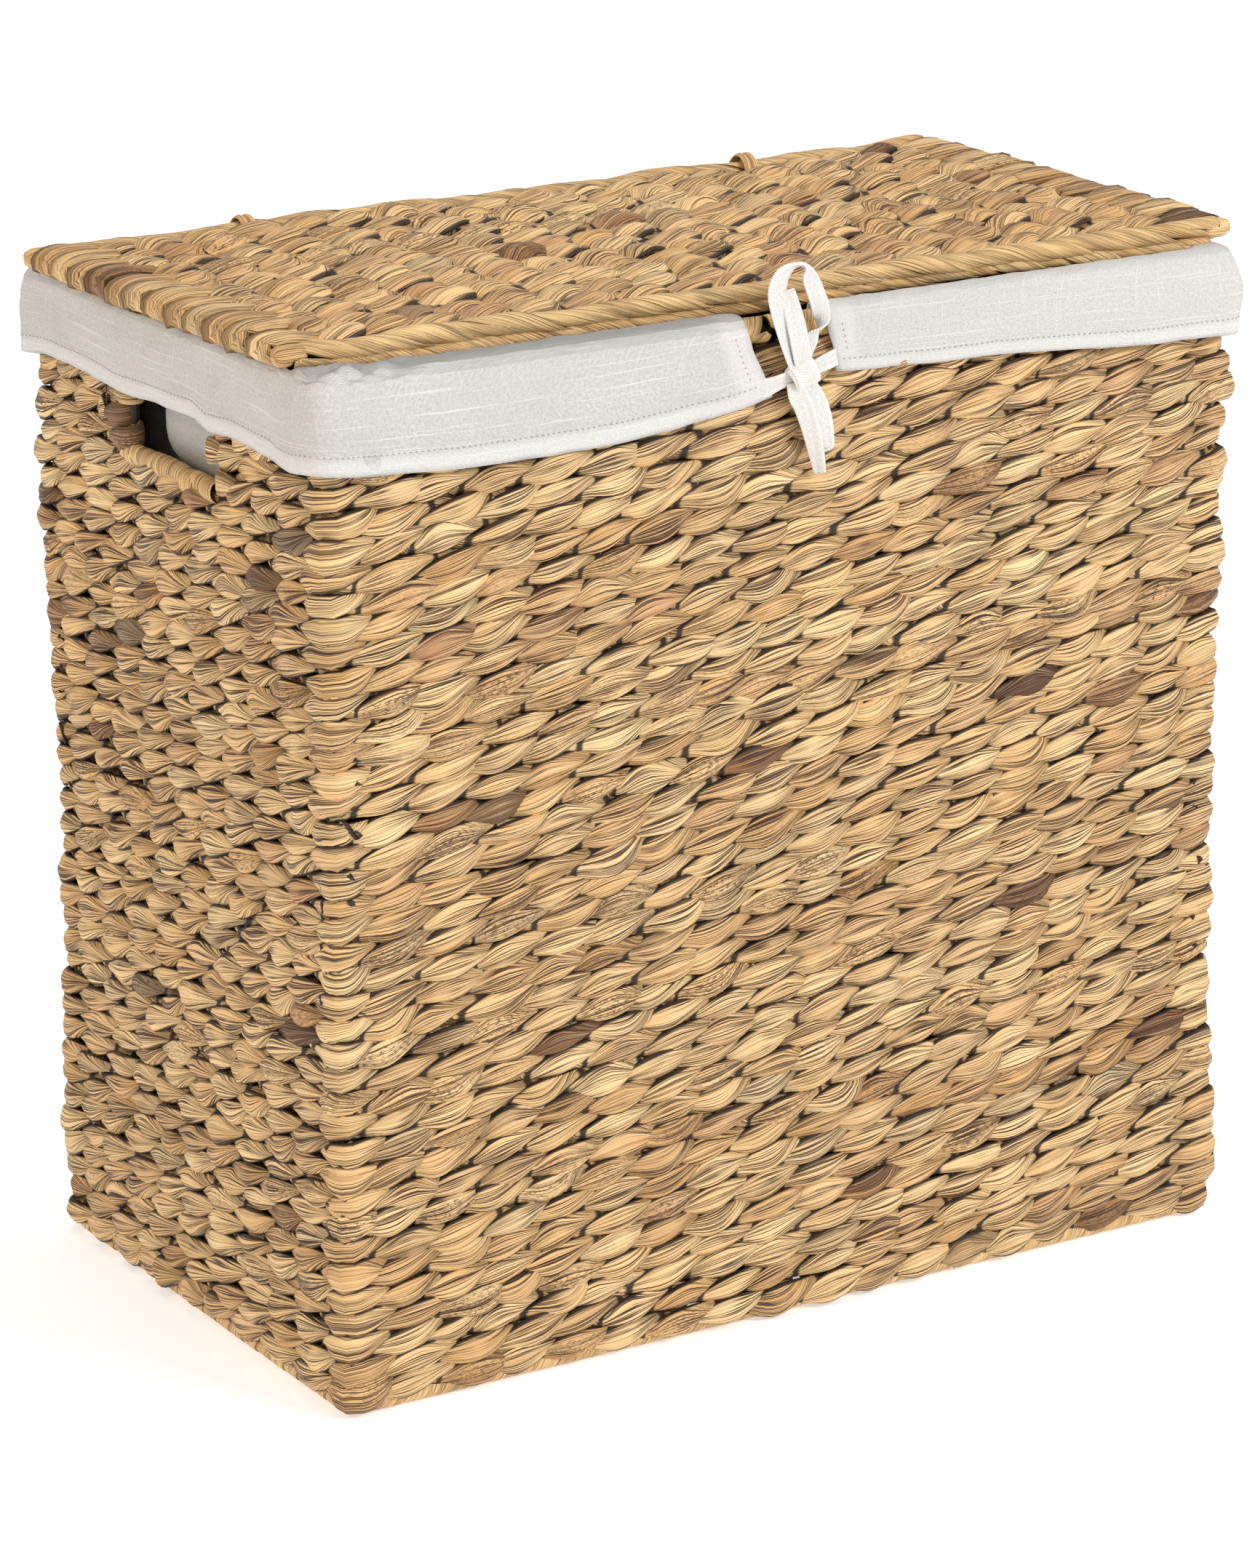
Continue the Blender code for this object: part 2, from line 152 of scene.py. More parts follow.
def stand_for(made, body, slot, *nodes):
    """Hangs a piece on the empty of its body and hides the CAD nodes that it is shown for. slot is not used.
    """
    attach(made, body)
    if nodes:
        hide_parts(*nodes)


def waves(cycles, period, scale, generator):
    """A smooth random function of one variable that repeats after the period."""
    k = np.arange(1, cycles + 1)
    size = generator.normal(size=cycles) / k**0.7
    shift = generator.uniform(0, 2 * math.pi, cycles)
    size *= scale / max(np.sqrt((size**2).sum() / 2), 1e-9)

    def curve(q):
        return (size * np.sin(2 * math.pi * np.asarray(q)[..., None] * k / period + shift)).sum(-1)

    return curve


def ripples(count, shortest, longest, scale, generator):
    """A smooth random function of two lengths, made of waves in every direction."""
    size = np.exp(generator.uniform(math.log(shortest), math.log(longest), count))
    turn = generator.uniform(0, 2 * math.pi, count)
    shift = generator.uniform(0, 2 * math.pi, count)
    weight = np.sqrt(size / longest)
    weight *= scale / np.sqrt((weight**2).sum() / 2)

    def height(u, v):
        phase = (u[..., None] * np.cos(turn) + v[..., None] * np.sin(turn)) * 2 * math.pi / size + shift
        return (weight * np.sin(phase)).sum(-1)

    return height


class Strands:
    """Gathers strands, each a closed tube, into one piece. Each point keeps two notes for the material.

    grain: its distance along the strand and across it, and a number that differs from strand to strand.
    look: the stalk's tone and redness, and a third number: above 0 how mottled it is, below 0 how much
    painted shade it gets, where it lies in a crevice or under another strand.
    """

    def __init__(self):
        self.points, self.faces, self.grain, self.look = [], [], [], []
        self.count = 0

    def add(self, points, closed, grain, look, flip=False):
        rings, sides = points.shape[:2]
        faces = tube_faces(rings, sides, closed)
        self.points.append(points.reshape(-1, 3))
        self.faces.append((faces[:, ::-1] if flip else faces) + self.count)
        self.grain.append(np.broadcast_to(grain, points.shape).reshape(-1, 3))
        self.look.append(np.broadcast_to(look, points.shape).reshape(-1, 3))
        self.count += rings * sides

    def build(self, name, material, body, slot, *nodes):
        notes = {"grain": np.concatenate(self.grain), "look": np.concatenate(self.look)}
        made = add_mesh(name, np.concatenate(self.points), np.concatenate(self.faces), material, notes)
        stand_for(made, body, slot, *nodes)


# ---------------------------------------------------------------- twined rows


class Twine:
    """The sizes of one kind of twined row, in metres."""

    def __init__(self, rise, depth, half_width, half_thickness, furrow, lead, reach):
        self.rise = rise  # how far a strand goes above and below the middle of its row
        self.depth = depth  # how far it goes in front of and behind the stakes
        self.half_width, self.half_thickness = half_width, half_thickness  # over a stake
        self.furrow = furrow
        self.lead, self.reach = lead, reach  # where the row turns back: before its end, and past it


WALL_TWINE = Twine(0.0038, 0.0036, 0.0078, 0.0029, 0.00028, 0.017, 0.0052)
FOOT_TWINE = Twine(0.0030, 0.0036, 0.0086, 0.0030, 0.00028, 0.017, 0.0052)
LID_TWINE = Twine(0.0060, 0.0034, 0.0124, 0.0034, 0.0004, 0.026, 0.0118)
BASE_TWINE = Twine(0.0058, 0.0032, 0.0120, 0.0030, 0.0004, 0.018, 0.0080)

# The way of a strand from where it is outermost (0), past where it crosses the other one (1), to where it is
# innermost (2). On it, its width, how far it is from the middle of the row, and how far before the stakes.
PASSAGE = (0.0, 0.25, 0.5, 0.75, 1.0, 1.25, 1.5, 1.75, 2.0)
WIDTH_SHARE = (1.0, 0.98, 0.90, 0.76, 0.60, 0.48, 0.50, 1.0, 1.20)
RISE_SHARE = (0.0, 0.26, 0.52, 0.75, 0.95, 1.12, 1.22, 0.80, 0.0)
DEPTH_SHARE = (1.0, 0.95, 0.80, 0.56, 0.28, 0.05, -0.15, -0.65, -1.0)
# How far it has turned on itself on that way, in radians.
TURN_ON_WAY = (0.0, 0.0, 0.02, 0.06, 0.18, 0.42, 0.75, 0.60, 0.0)

OUTER_TURNS = np.linspace(-0.8, 0.8, 14, endpoint=False)
INNER_TURNS = np.linspace(0.8, 1.2, 3, endpoint=False)
OUTER_ANGLES = np.linspace(0, math.pi, 10, endpoint=False)
INNER_ANGLES = np.linspace(math.pi, 2 * math.pi, 3, endpoint=False)
SECTION = np.concatenate([OUTER_ANGLES, INNER_ANGLES])


def strand_samples(first, last, offset):
    """Stake places of a strand's rings: close on the side that shows, wide apart behind the stakes."""
    turns = np.concatenate([OUTER_TURNS, INNER_TURNS])
    whole = np.arange(math.floor((first - offset) / 2) - 1, math.ceil((last - offset) / 2) + 2)
    q = (turns[None, :] + 2 * whole[:, None]).ravel() + offset
    return q[(q >= first - 1e-6) & (q <= last + 1e-6)]


def with_corners(q, low, high):
    """The places with more of them at the corners of the basket, so that strands bend sharply there."""
    marks = np.append(CORNER_STAKES, STAKES_ROUND + STAKES_FRONT)
    marks = marks[(marks > low + 0.2) & (marks < high - 0.2)]
    q = q[np.abs(q[:, None] - marks).min(1) > 0.10]
    return np.sort(np.concatenate([q] + [marks + step for step in (-0.075, -0.03, 0.0, 0.03, 0.075)]))


def stalk_looks(count, generator, odd_share=0.07):
    """Tone, redness and mottling for each bump. A stalk lasts a few bumps, then another takes over."""
    looks = np.zeros((count, 3))
    at = 0
    while at < count:
        lasts = generator.integers(1, 6)
        tone = generator.beta(2.2, 3.0) * 0.44
        red = generator.normal(0.0, 0.28)
        mottle = generator.random() ** 4
        if generator.random() < odd_share:
            tone = generator.uniform(0.50, 0.92)
            lasts = 1
            mottle = generator.random()
        looks[at : at + lasts] = (tone, red, mottle)
        at += lasts
    looks[:, 0] += generator.normal(0, 0.06, count)
    looks[:, 1] += generator.normal(0, 0.12, count)
    return np.clip(looks, (-0.1, -1, 0), (1, 1, 1))


def section_shape(width, thickness, curl, furrow, phases):
    """Points of a strand's cross-section, as distances across it and outwards: a crowned, furrowed leaf."""
    across, rise = np.cos(SECTION)[None, :], np.sin(SECTION)[None, :]
    face = np.clip(rise, 0, 1)
    folds = np.sin(5 * SECTION[None, :] + phases[0]) + 0.7 * np.sin(8 * SECTION[None, :] + phases[1])
    out = thickness * np.where(rise > 0, 1.15 * face**0.8, 0.8 * rise)
    out = out - curl * across**2 + furrow * folds * (face > 0.2)
    return across * width, out


def strand(strands, place, twine, first, last, offset, closed, seed):
    """One strand between two stake places, outermost at every second stake from the offset.

    place(q) gives points in the middle of the row, the directions outwards and up, and distances along it.
    """
    generator = np.random.default_rng([SEED, seed])
    if closed:
        begin = offset + 1.0  # behind a stake, where the join doesn't show
        q = strand_samples(begin, begin + last - first, offset)
        q = with_corners(q[q < begin + last - first - 1e-6], begin, begin + last - first)
    else:
        q = strand_samples(first, last, offset)
    bumps = np.arange(math.floor((q[0] - offset) / 2) - 1, math.ceil((q[-1] - offset) / 2) + 2)
    centres = bumps * 2.0 + offset
    count = len(centres)
    repeat = np.arange(count) % (int(round((last - first) / 2)) if closed else count)
    edges = np.stack([centres - 0.70, centres + 0.70], -1).ravel()

    def by_bump(values):
        return np.interp(q, edges, np.repeat(values[repeat], 2))[:, None]

    def random(scale, middle=0.0):
        return by_bump(middle + generator.normal(0, scale, count).clip(-2.1 * scale, 2.1 * scale))

    slide, push, lift = random(0.13), random(0.0006), random(0.0007)
    wide, twist, steep = random(0.10, 1.0), random(0.13), random(0.16, 1.0)
    phases = [by_bump(generator.uniform(0, 6.3, count)) for _ in range(2)]
    looks = stalk_looks(count, generator)
    look = np.concatenate([by_bump(looks[:, i]) for i in range(3)], -1)

    turn = (q - offset) * math.pi  # 0 where the strand is outermost
    from_peak = ((turn + math.pi) % (2 * math.pi) - math.pi)[:, None] / math.pi  # in stakes
    around = np.abs(from_peak) * 2  # 0 outermost, 1 where the strands cross, 2 innermost
    side = np.sign(np.sin(turn))[:, None]
    fade = np.cos(turn / 2)[:, None] ** 2
    base, outward, up, along = place(q + slide[:, 0] * fade[:, 0])
    height = side * np.interp(around, PASSAGE, RISE_SHARE)
    middle = base + outward * (twine.depth * np.interp(around, PASSAGE, DEPTH_SHARE) + push * fade)
    middle = middle + up * (twine.rise * height * steep + lift * fade)
    if closed:
        tangent = unit(np.roll(middle, -1, 0) - np.roll(middle, 1, 0))
    else:
        tangent = unit(np.gradient(middle, axis=0))
    facing = side * np.interp(around, PASSAGE, TURN_ON_WAY) + twist * fade
    radial = unit(outward) * np.cos(facing) + up * np.sin(facing)
    radial = unit(radial - tangent * (radial * tangent).sum(-1, keepdims=True))
    across = np.cross(tangent, radial)

    # Wider where it starts than where it tapers under the next one, and at the corners.
    skew = 1 - 0.18 * np.sin(np.clip(from_peak / 0.75, -1, 1) * math.pi / 2)
    share = np.interp(around, PASSAGE, WIDTH_SHARE) * skew
    width = twine.half_width * share * wide * (0.45 + 0.55 * np.linalg.norm(outward, axis=-1, keepdims=True))
    thickness = twine.half_thickness * (0.4 + 0.6 * share)
    over, out = section_shape(width, thickness, 0.16 * width, twine.furrow * share, phases)
    points = swept(middle, across, over, radial, out)
    if not closed:
        close_ends(points)
    # The fibres of a stalk part in the middle of a bump and close up at its two ends, like those of a leaf.
    above = ((points - middle[:, None]) * up[:, None]).sum(-1)
    leaf = np.maximum(share * np.where(from_peak > 0, 1 - 0.35 * around, 1.0), 0.25)
    parting = random(0.45) * twine.half_width
    grain = together(over.shape, along[:, None], (above - parting) / leaf, seed * 0.37 % 50)
    # Painted shade: the rim of each cross-section, where strands press together, and the stretch that tucks
    # under the crossing are darkened in colour, standing in for shadow.
    crease = np.interp(np.abs(np.sin(SECTION)), [0.16, 0.45, 0.70], [1.0, 0.85, 0.0])
    painted_shade = np.maximum(np.interp(around, [1.20, 1.36, 1.46, 1.62], [0, 1, 1, 0]), crease)
    tone, red, mottle = look.T[..., None]
    strands.add(points, closed, grain, together(over.shape, tone, red, mottle * (1 - painted_shade) - painted_shade))


def twined_pair(strands, place, twine, first, last, row, shift, seed, closed=False):
    """The two strands of a row. Rows next to each other are one stake apart in their bumps."""
    for which in (0, 1):
        strand(strands, place, twine, first, last, (row + which) % 2 + shift, closed, seed + which)


def row_end(strands, place, twine, at, direction, seed):
    """The bend in which a row turns back at its end, from its outer face to its inner one."""
    generator = np.random.default_rng([SEED, seed, 7])
    base, outward, up, _ = place(np.array([at - 0.01, at, at + 0.01]))
    ahead = unit((base[2] - base[0]) * direction)
    centre, outward, up = base[1], unit(outward[1]), up[1]
    outside = twine.depth * generator.normal(1.0, 0.08)
    run = np.linspace(0, 0.85, 5)[:, None]
    sweep = np.linspace(-0.5 * math.pi, 0.5 * math.pi, 11)[:, None]
    path = np.concatenate(
        [
            centre + outward * outside * (0.35 + 0.65 * run**0.5) - ahead * twine.lead * (1 - run),
            centre + ahead * twine.reach * np.cos(sweep) - outward * outside * np.sin(sweep),
            centre - outward * outside * 0.8 - ahead * twine.lead * (1 - run[::-1]),
        ]
    )
    t = np.linspace(0, 1, len(path))[:, None]
    slant = generator.normal(-0.55, 0.15) * twine.rise
    lift = generator.normal(0, 0.05) * twine.half_width
    path = path + up * (lift + slant * np.cos(t * math.pi) * direction)
    tangent = unit(np.gradient(path, axis=0))
    level = unit(up - tangent * (tangent @ up)[:, None])
    radial = np.cross(level, tangent) * direction
    spread = np.interp(t[:, 0], [0, 0.2, 0.5, 0.8, 1], [0.35, 0.9, 1.0, 0.9, 0.5])[:, None]
    width = twine.half_width * 0.90 * spread * generator.normal(1.0, 0.04)
    phases = [generator.uniform(0, 6.3) for _ in range(2)]
    over, out = section_shape(width, twine.half_thickness * 1.5, 0.42 * width, twine.furrow, phases)
    points = swept(path, level, over, radial, out)
    close_ends(points)
    round_it = SECTION / math.pi * 2 * twine.half_width
    grain = together(over.shape, distances(path)[:, None], round_it, seed * 0.73 % 50)
    tone, red, mottle = stalk_looks(1, generator)[0]
    # Painted shade on the start of the bend, where it comes out from behind the row.
    painted_shade = np.clip(0.6 - 4 * t, 0, 1)
    look = together(over.shape, tone, red, mottle * (1 - painted_shade) - painted_shade)
    strands.add(points, False, grain, look, flip=direction > 0)


class Outline:
    """A rounded rectangle seen from above. Places on it count stakes anticlockwise from its front left."""

    def __init__(self, half_x, half_y, radius):
        self.half_x, self.half_y, self.radius = half_x, half_y, radius
        self.arc = radius * math.pi / 2
        self.run_x = 2 * (half_x - radius)
        self.run_y = 2 * (half_y - radius)
        front, end = self.run_x + self.arc, self.run_y + self.arc
        self.lengths = np.cumsum([0, front, end, front, end])
        self.length = self.lengths[-1]

    def at(self, q):
        """Points, outward directions and distances along the outline, for an array of places."""
        q = np.asarray(q, float)
        laps = np.floor(q / STAKES_ROUND)
        s = np.interp(q - laps * STAKES_ROUND, CORNER_STAKES, self.lengths)
        along = s + laps * self.length
        past = (s + self.arc / 2) % self.length
        corner = np.clip(np.searchsorted(self.lengths, past, side="right") - 1, 0, 3)
        past = past - self.lengths[corner]
        bend = np.minimum(past, self.arc)
        straight = past - bend
        turn = math.pi + (corner + bend / max(self.arc, 1e-9)) * math.pi / 2
        outward = np.stack([np.cos(turn), np.sin(turn), 0 * turn], -1)
        x, y = self.half_x - self.radius, self.half_y - self.radius
        centres = np.array([(-x, -y), (x, -y), (x, y), (-x, y)])[corner]
        ways = np.array([(1, 0), (0, 1), (-1, 0), (0, -1)])[corner]
        points = np.zeros(q.shape + (3,))
        points[..., :2] = centres + self.radius * outward[..., :2] + ways * straight[..., None]
        return points, outward, along

    def from_corner(self, q):
        """How many stakes each place is from the nearest corner."""
        return np.abs((np.asarray(q)[..., None] - CORNER_STAKES + 3) % STAKES_ROUND - 3).min(-1)


# ---------------------------------------------------------------- strands wound round a wire


def wound_bar(strands, centre, length, radius, pitch, seed, lap=0.0006, uneven=0.0003, starts=1):
    """Strands wound round a wire, side by side if there are several starts; the pitch is that of one strand.

    centre(s) gives points and two directions square to the wire, for distances s.
    """
    turns = int(round(length / pitch / starts))
    for start in range(starts):
        shape = (length / turns, length / turns / starts, lap, uneven)
        wound_strand(strands, centre, length, radius, turns, start / starts, shape, seed + start * 50)


def wound_strand(strands, centre, length, radius, turns, begin, shape, seed):
    """One of the strands of a wound bar. begin is the part of a turn by which it is ahead."""
    lead, pitch, lap, uneven = shape
    generator = np.random.default_rng([SEED, seed, 3])
    per_turn = 20
    steps = (turns + (begin > 0)) * per_turn + 1
    wind = np.arange(steps) / per_turn - begin
    outer = np.linspace(-0.10, 1.12, 9)
    inner = np.linspace(0.95, 0.1, 3)
    across = np.concatenate([outer, inner])[None, :]
    on_face = np.arange(across.size) < outer.size
    stretch = waves(turns, turns, 0.06, generator)(wind)[:, None]
    s = np.clip(wind[:, None] * lead + (across - 0.5 + stretch) * pitch, 0, length)
    theta = 2 * math.pi * (wind[:, None] + begin) + 0 * across
    crown = lap * (outer - 0.3) + 0.0003 * np.sin(np.clip(outer, 0, 1) * math.pi)
    crown = np.concatenate([crown, -0.0016 + 0 * inner])
    swell = waves(turns * 2, turns, uneven, generator)(wind)[:, None]
    folds = 0.00012 * np.sin(across * 21 + generator.uniform(0, 6)) * on_face
    r = radius + crown[None, :] + swell + folds
    points, e1, e2 = centre(s)
    points = points + (e1 * np.cos(theta)[..., None] + e2 * np.sin(theta)[..., None]) * r[..., None]
    close_ends(points)
    along = wind[:, None] * math.hypot(2 * math.pi * radius, lead)
    grain = together(s.shape, along, across * pitch, seed * 0.61 % 50)
    looks = stalk_looks(turns // 3 + 2, generator, odd_share=0.0)
    knots = np.arange(len(looks)) * 3.0
    tone = np.interp(wind, knots, looks[:, 0])[:, None]
    red = np.interp(wind, knots, looks[:, 1])[:, None]
    # Painted shade where a turn runs under the one beside it, and on the inner face.
    painted_shade = 0.75 * ((across < -0.02) | ~on_face)
    strands.add(points, False, grain, together(s.shape, tone * 0.8, red * 0.6, -painted_shade), flip=True)


def stub(strands, centre, direction, length, radius, seed):
    """The rounded end of a bar that runs along X, a leaf folded over it."""
    generator = np.random.default_rng([SEED, seed, 11])
    t = np.linspace(-1, 1, 13)[:, None]
    theta = np.linspace(0, 2 * math.pi, 16, endpoint=False)[None, :]
    r = radius * np.sqrt(np.maximum(1 - t**4, 0)) * (1 + 0.05 * np.sin(5 * theta + generator.uniform(0, 6)))
    x = length * t * direction + 0 * theta
    points = np.array(centre) + np.stack([x, r * np.cos(theta), r * np.sin(theta)], -1)
    grain = together(x.shape, t * length, theta * radius, seed * 0.41 % 50)
    tone, red, _ = stalk_looks(1, generator, odd_share=0.0)[0]
    strands.add(points, False, grain, together(x.shape, tone, red, 0), flip=direction > 0)


def straight_line(start, end, sag=None):
    """The centre function of a straight bar from start to end, and its length."""
    start, end = np.array(start, float), np.array(end, float)
    length = np.linalg.norm(end - start)
    way = (end - start) / length
    e1 = unit(np.cross(way, (0, 0, 1)))
    e2 = np.cross(way, e1)

    def centre(s):
        points = start + way * s[..., None]
        if sag:
            points = points + e2 * sag(s)[..., None]
        return points, np.broadcast_to(e1, points.shape), np.broadcast_to(e2, points.shape)

    return centre, length


def ring_line(half_x, half_y, radius, z, q_first, q_last, sag=None):
    """The centre function and the length of a bar that follows an outline at height z between two places."""
    outline = Outline(half_x, half_y, radius)
    places = np.linspace(q_first, q_last, 4000)
    points, _, _ = outline.at(places)
    distance = distances(points)

    def centre(s):
        at, outward, _ = outline.at(np.interp(s, distance, places))
        at[..., 2] = z + (sag(s) if sag else 0)
        return at, outward, np.broadcast_to((0.0, 0.0, 1.0), at.shape)

    return centre, distance[-1]


# ---------------------------------------------------------------- materials


class Nodes:
    """Short ways to add nodes to a new material."""

    def __init__(self, name):
        self.material = bpy.data.materials.new(name)
        self.material.use_nodes = True
        self.tree = self.material.node_tree
        self.shader = self.tree.nodes["Principled BSDF"]

    def add(self, kind, sockets, **settings):
        """A new node with its settings, and with values or links for its sockets."""
        node = self.tree.nodes.new(kind)
        for key, value in settings.items():
            setattr(node, key, value)
        self.fill(node, sockets)
        return node

    def fill(self, node, sockets):
        for key, value in sockets.items():
            self.put(node.inputs[key], value)

    def put(self, socket, value):
        if isinstance(value, bpy.types.NodeSocket):
            self.tree.links.new(value, socket)
        elif hasattr(value, "__len__") and len(value) == 3 and len(socket.default_value) == 4:
            socket.default_value = (*value, 1.0)
        else:
            socket.default_value = value

    def maths(self, operation, a, b=0.0):
        return self.add("ShaderNodeMath", {0: a, 1: b}, operation=operation).outputs[0]

    def note(self, name):
        vector = self.add("ShaderNodeAttribute", {}, attribute_name=name).outputs["Vector"]
        return vector, self.add("ShaderNodeSeparateXYZ", {0: vector}).outputs

    def noise(self, vector, scale, detail=2.0, roughness=0.55):
        place = self.add("ShaderNodeVectorMath", {0: vector, 1: scale}, operation="MULTIPLY").outputs[0]
        sockets = {"Vector": place, "Scale": 1.0, "Detail": detail, "Roughness": roughness}
        return self.add("ShaderNodeTexNoise", sockets).outputs["Fac"]

    def ramp(self, value, stops):
        node = self.add("ShaderNodeValToRGB", {0: value})
        elements = node.color_ramp.elements
        elements.remove(elements[1])
        for i, (position, colour) in enumerate(stops):
            element = elements[0] if i == 0 else elements.new(position)
            element.position = position
            element.color = (*colour, 1.0)
        return node.outputs[0]

    def mix(self, factor, a, b, kind="MIX"):
        sockets = {0: factor, 6: a, 7: b}
        return self.add("ShaderNodeMix", sockets, data_type="RGBA", blend_type=kind).outputs[2]

    def remap(self, value, low, high, to_low, to_high):
        sockets = dict(enumerate((value, low, high, to_low, to_high)))
        return self.add("ShaderNodeMapRange", sockets, clamp=True).outputs[0]

    def line(self, value, middle, half_width):
        """1 where the value is close to the middle, falling to 0 at the half width."""
        away = self.maths("ABSOLUTE", self.maths("SUBTRACT", value, middle))
        return self.remap(away, 0, half_width, 1, 0)

    def bump(self, height, distance):
        sockets = {"Strength": 1.0, "Distance": distance, "Height": height}
        return self.add("ShaderNodeBump", sockets).outputs[0]

    def finish(self, colour, roughness, normal, **others):
        """Joins up the shader. others are values for sockets, by their names with _ for a space."""
        self.fill(self.shader, {"Base Color": colour, "Roughness": roughness, "Normal": normal})
        self.fill(self.shader, {key.replace("_", " "): value for key, value in others.items()})
        return self.material


def srgb(r, g, b):
    """Linear colour from 0-255 values as a screen shows them."""
    return tuple(((c / 255 + 0.055) / 1.055) ** 2.4 if c > 10 else c / 255 / 12.92 for c in (r, g, b))


def times(colour, share):
    return tuple(share * c for c in colour)


def hyacinth_material(name, tint, gloss=0.0, lines=1.0):
    """Dried water hyacinth: fibres, grooves along the strand, a tone for each stalk, mottling, and painted
    shade in crevices.
    """
    n = Nodes(name)
    grain, _ = n.note("grain")
    _, (tone, red, mottle_and_shade) = n.note("look")
    # Below -0.3 the third note asks for painted shade, as in a crevice; above 0 it is real mottling.
    painted_shade = n.remap(mottle_and_shade, -0.70, -0.30, 1.0, 0.0)

    streak = n.noise(grain, (11.0, 900.0, 17.0), detail=3.0, roughness=0.65)
    hair = n.noise(grain, (14.0, 1500.0, 31.0), detail=1.0)
    broad = n.noise(grain, (24.0, 120.0, 7.0))
    groove = n.noise(grain, (8.0, 500.0, 23.0), detail=1.0)
    speckle = n.noise(grain, (420.0, 900.0, 13.0), detail=3.0, roughness=0.75)
    grouped = n.remap(n.noise(grain, (35.0, 90.0, 3.0)), 0.32, 0.52, 0.30, 1.0)

    colour = n.ramp(
        n.maths("ADD", tone, n.remap(broad, 0.3, 0.7, -0.10, 0.12)),
        [
            (0.00, srgb(244, 210, 154)),
            (0.25, srgb(230, 188, 130)),
            (0.48, srgb(208, 162, 104)),
            (0.68, srgb(172, 126, 78)),
            (0.85, srgb(126, 90, 54)),
            (1.00, srgb(86, 58, 38)),
        ],
    )
    colour = n.mix(n.remap(red, 0.15, 1.0, 0.0, 0.55), colour, srgb(168, 112, 84))
    colour = n.mix(n.remap(red, -1.0, -0.15, 0.60, 0.0), colour, srgb(178, 164, 132))
    colour = n.mix(n.remap(streak, 0.54, 0.66, 0.0, 0.45), colour, srgb(246, 222, 174))
    dark_streak = n.remap(streak, 0.30, 0.42, 0.58 * lines, 0.0)
    colour = n.mix(dark_streak, colour, srgb(132, 86, 42))
    hair_lines = n.maths("MULTIPLY", n.remap(hair, 0.41, 0.47, lines, 0.0), grouped)
    colour = n.mix(hair_lines, colour, srgb(78, 46, 18))
    groove_lines = n.maths("MULTIPLY", n.line(groove, 0.5, 0.050), grouped)
    colour = n.mix(n.maths("MULTIPLY", groove_lines, 0.95 * lines), colour, srgb(48, 26, 10))
    mottled = n.remap(mottle_and_shade, 0.35, 0.9, 0.0, 0.85)
    spots = n.maths("MULTIPLY", n.remap(speckle, 0.50, 0.60, 0.0, 1.0), mottled)
    colour = n.mix(spots, colour, srgb(84, 50, 28))
    # Painted shade: crevices and tucked-under parts are darkened in colour, standing in for shadow.
    colour = n.mix(n.maths("MULTIPLY", painted_shade, 0.96), colour, srgb(36, 20, 9))
    colour = n.mix(1.0, colour, tint, "MULTIPLY")
    roughness = n.remap(streak, 0.3, 0.7, 0.68 - gloss, 0.50 - gloss)
    height = n.maths("ADD", n.maths("MULTIPLY", streak, 0.9), n.maths("MULTIPLY", hair, 0.35))
    height = n.maths("SUBTRACT", height, n.maths("MULTIPLY", groove_lines, 0.6))
    return n.finish(colour, roughness, n.bump(height, 0.0006), Specular_IOR_Level=0.4)


TWILL_PITCH, CANVAS_PITCH = 0.0014, 0.0011


def cotton_material(name, thread, double, twill=False):
    """Off-white cotton: warp and weft, thick slub threads, and brighter where the cloth is double."""
    n = Nodes(name)
    cloth, (u, v, fold) = n.note("cloth")

    def threads(across, pitch):
        return n.maths("SINE", n.maths("MULTIPLY", across, 2 * math.pi / pitch))

    if twill:
        weave = threads(n.maths("ADD", u, v), TWILL_PITCH)
    else:
        weave = n.maths("MULTIPLY", threads(u, CANVAS_PITCH), threads(v, CANVAS_PITCH))
    slub = n.noise(cloth, (10.0, 900.0, 0.0), detail=1.0)
    stripe = n.noise(cloth, (900.0, 14.0, 0.0), detail=1.0)
    cloud = n.noise(cloth, (28.0, 40.0, 0.0), detail=3.0)
    fuzz = n.noise(cloth, (620.0, 620.0, 0.0), detail=2.0, roughness=0.7)
    single = n.mix(n.remap(cloud, 0.35, 0.65, 0.0, 1.0), thread, times(thread, 0.92))
    single = n.mix(n.remap(fuzz, 0.38, 0.62, 0.0, 0.9), single, times(thread, 0.78))
    double = n.mix(n.remap(fuzz, 0.38, 0.62, 0.0, 0.7), double, times(double, 0.86))
    colour = n.mix(fold, single, double)
    lines = n.maths("MAXIMUM", n.remap(slub, 0.62, 0.70, 0.0, 0.65), n.remap(stripe, 0.64, 0.72, 0.0, 0.30))
    colour = n.mix(lines, colour, (0.80, 0.79, 0.77))
    colour = n.mix(n.remap(weave, -0.9, -0.1, 0.50, 0.0), colour, times(thread, 0.60))
    height = n.maths("ADD", n.maths("MULTIPLY", weave, 0.35), n.maths("MULTIPLY", slub, 1.2))
    height = n.maths("ADD", height, n.maths("MULTIPLY", fuzz, 0.6))
    return n.finish(colour, 0.88, n.bump(height, 0.00035), Specular_IOR_Level=0.25, Sheen_Weight=0.15)


def wire_material():
    """Black lacquer on steel wire, with scuffs."""
    n = Nodes("lacquered_wire")
    where = n.add("ShaderNodeTexCoord", {}).outputs["Object"]
    scuffs = n.noise(where, (180.0, 180.0, 60.0), detail=4.0)
    colour = n.ramp(scuffs, [(0.0, srgb(28, 27, 26)), (0.60, srgb(44, 42, 40)), (0.75, srgb(96, 90, 84))])
    return n.finish(colour, n.remap(scuffs, 0.3, 0.7, 0.35, 0.6), n.bump(scuffs, 0.0002), Metallic=0.4)


# ---------------------------------------------------------------- walls

WALL_NODES = ("front_weave", "back_weave", "left_weave", "right_weave")
WALL_LOW, WALL_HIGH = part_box("front_weave")[0].z - 0.006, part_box("front_weave")[1].z
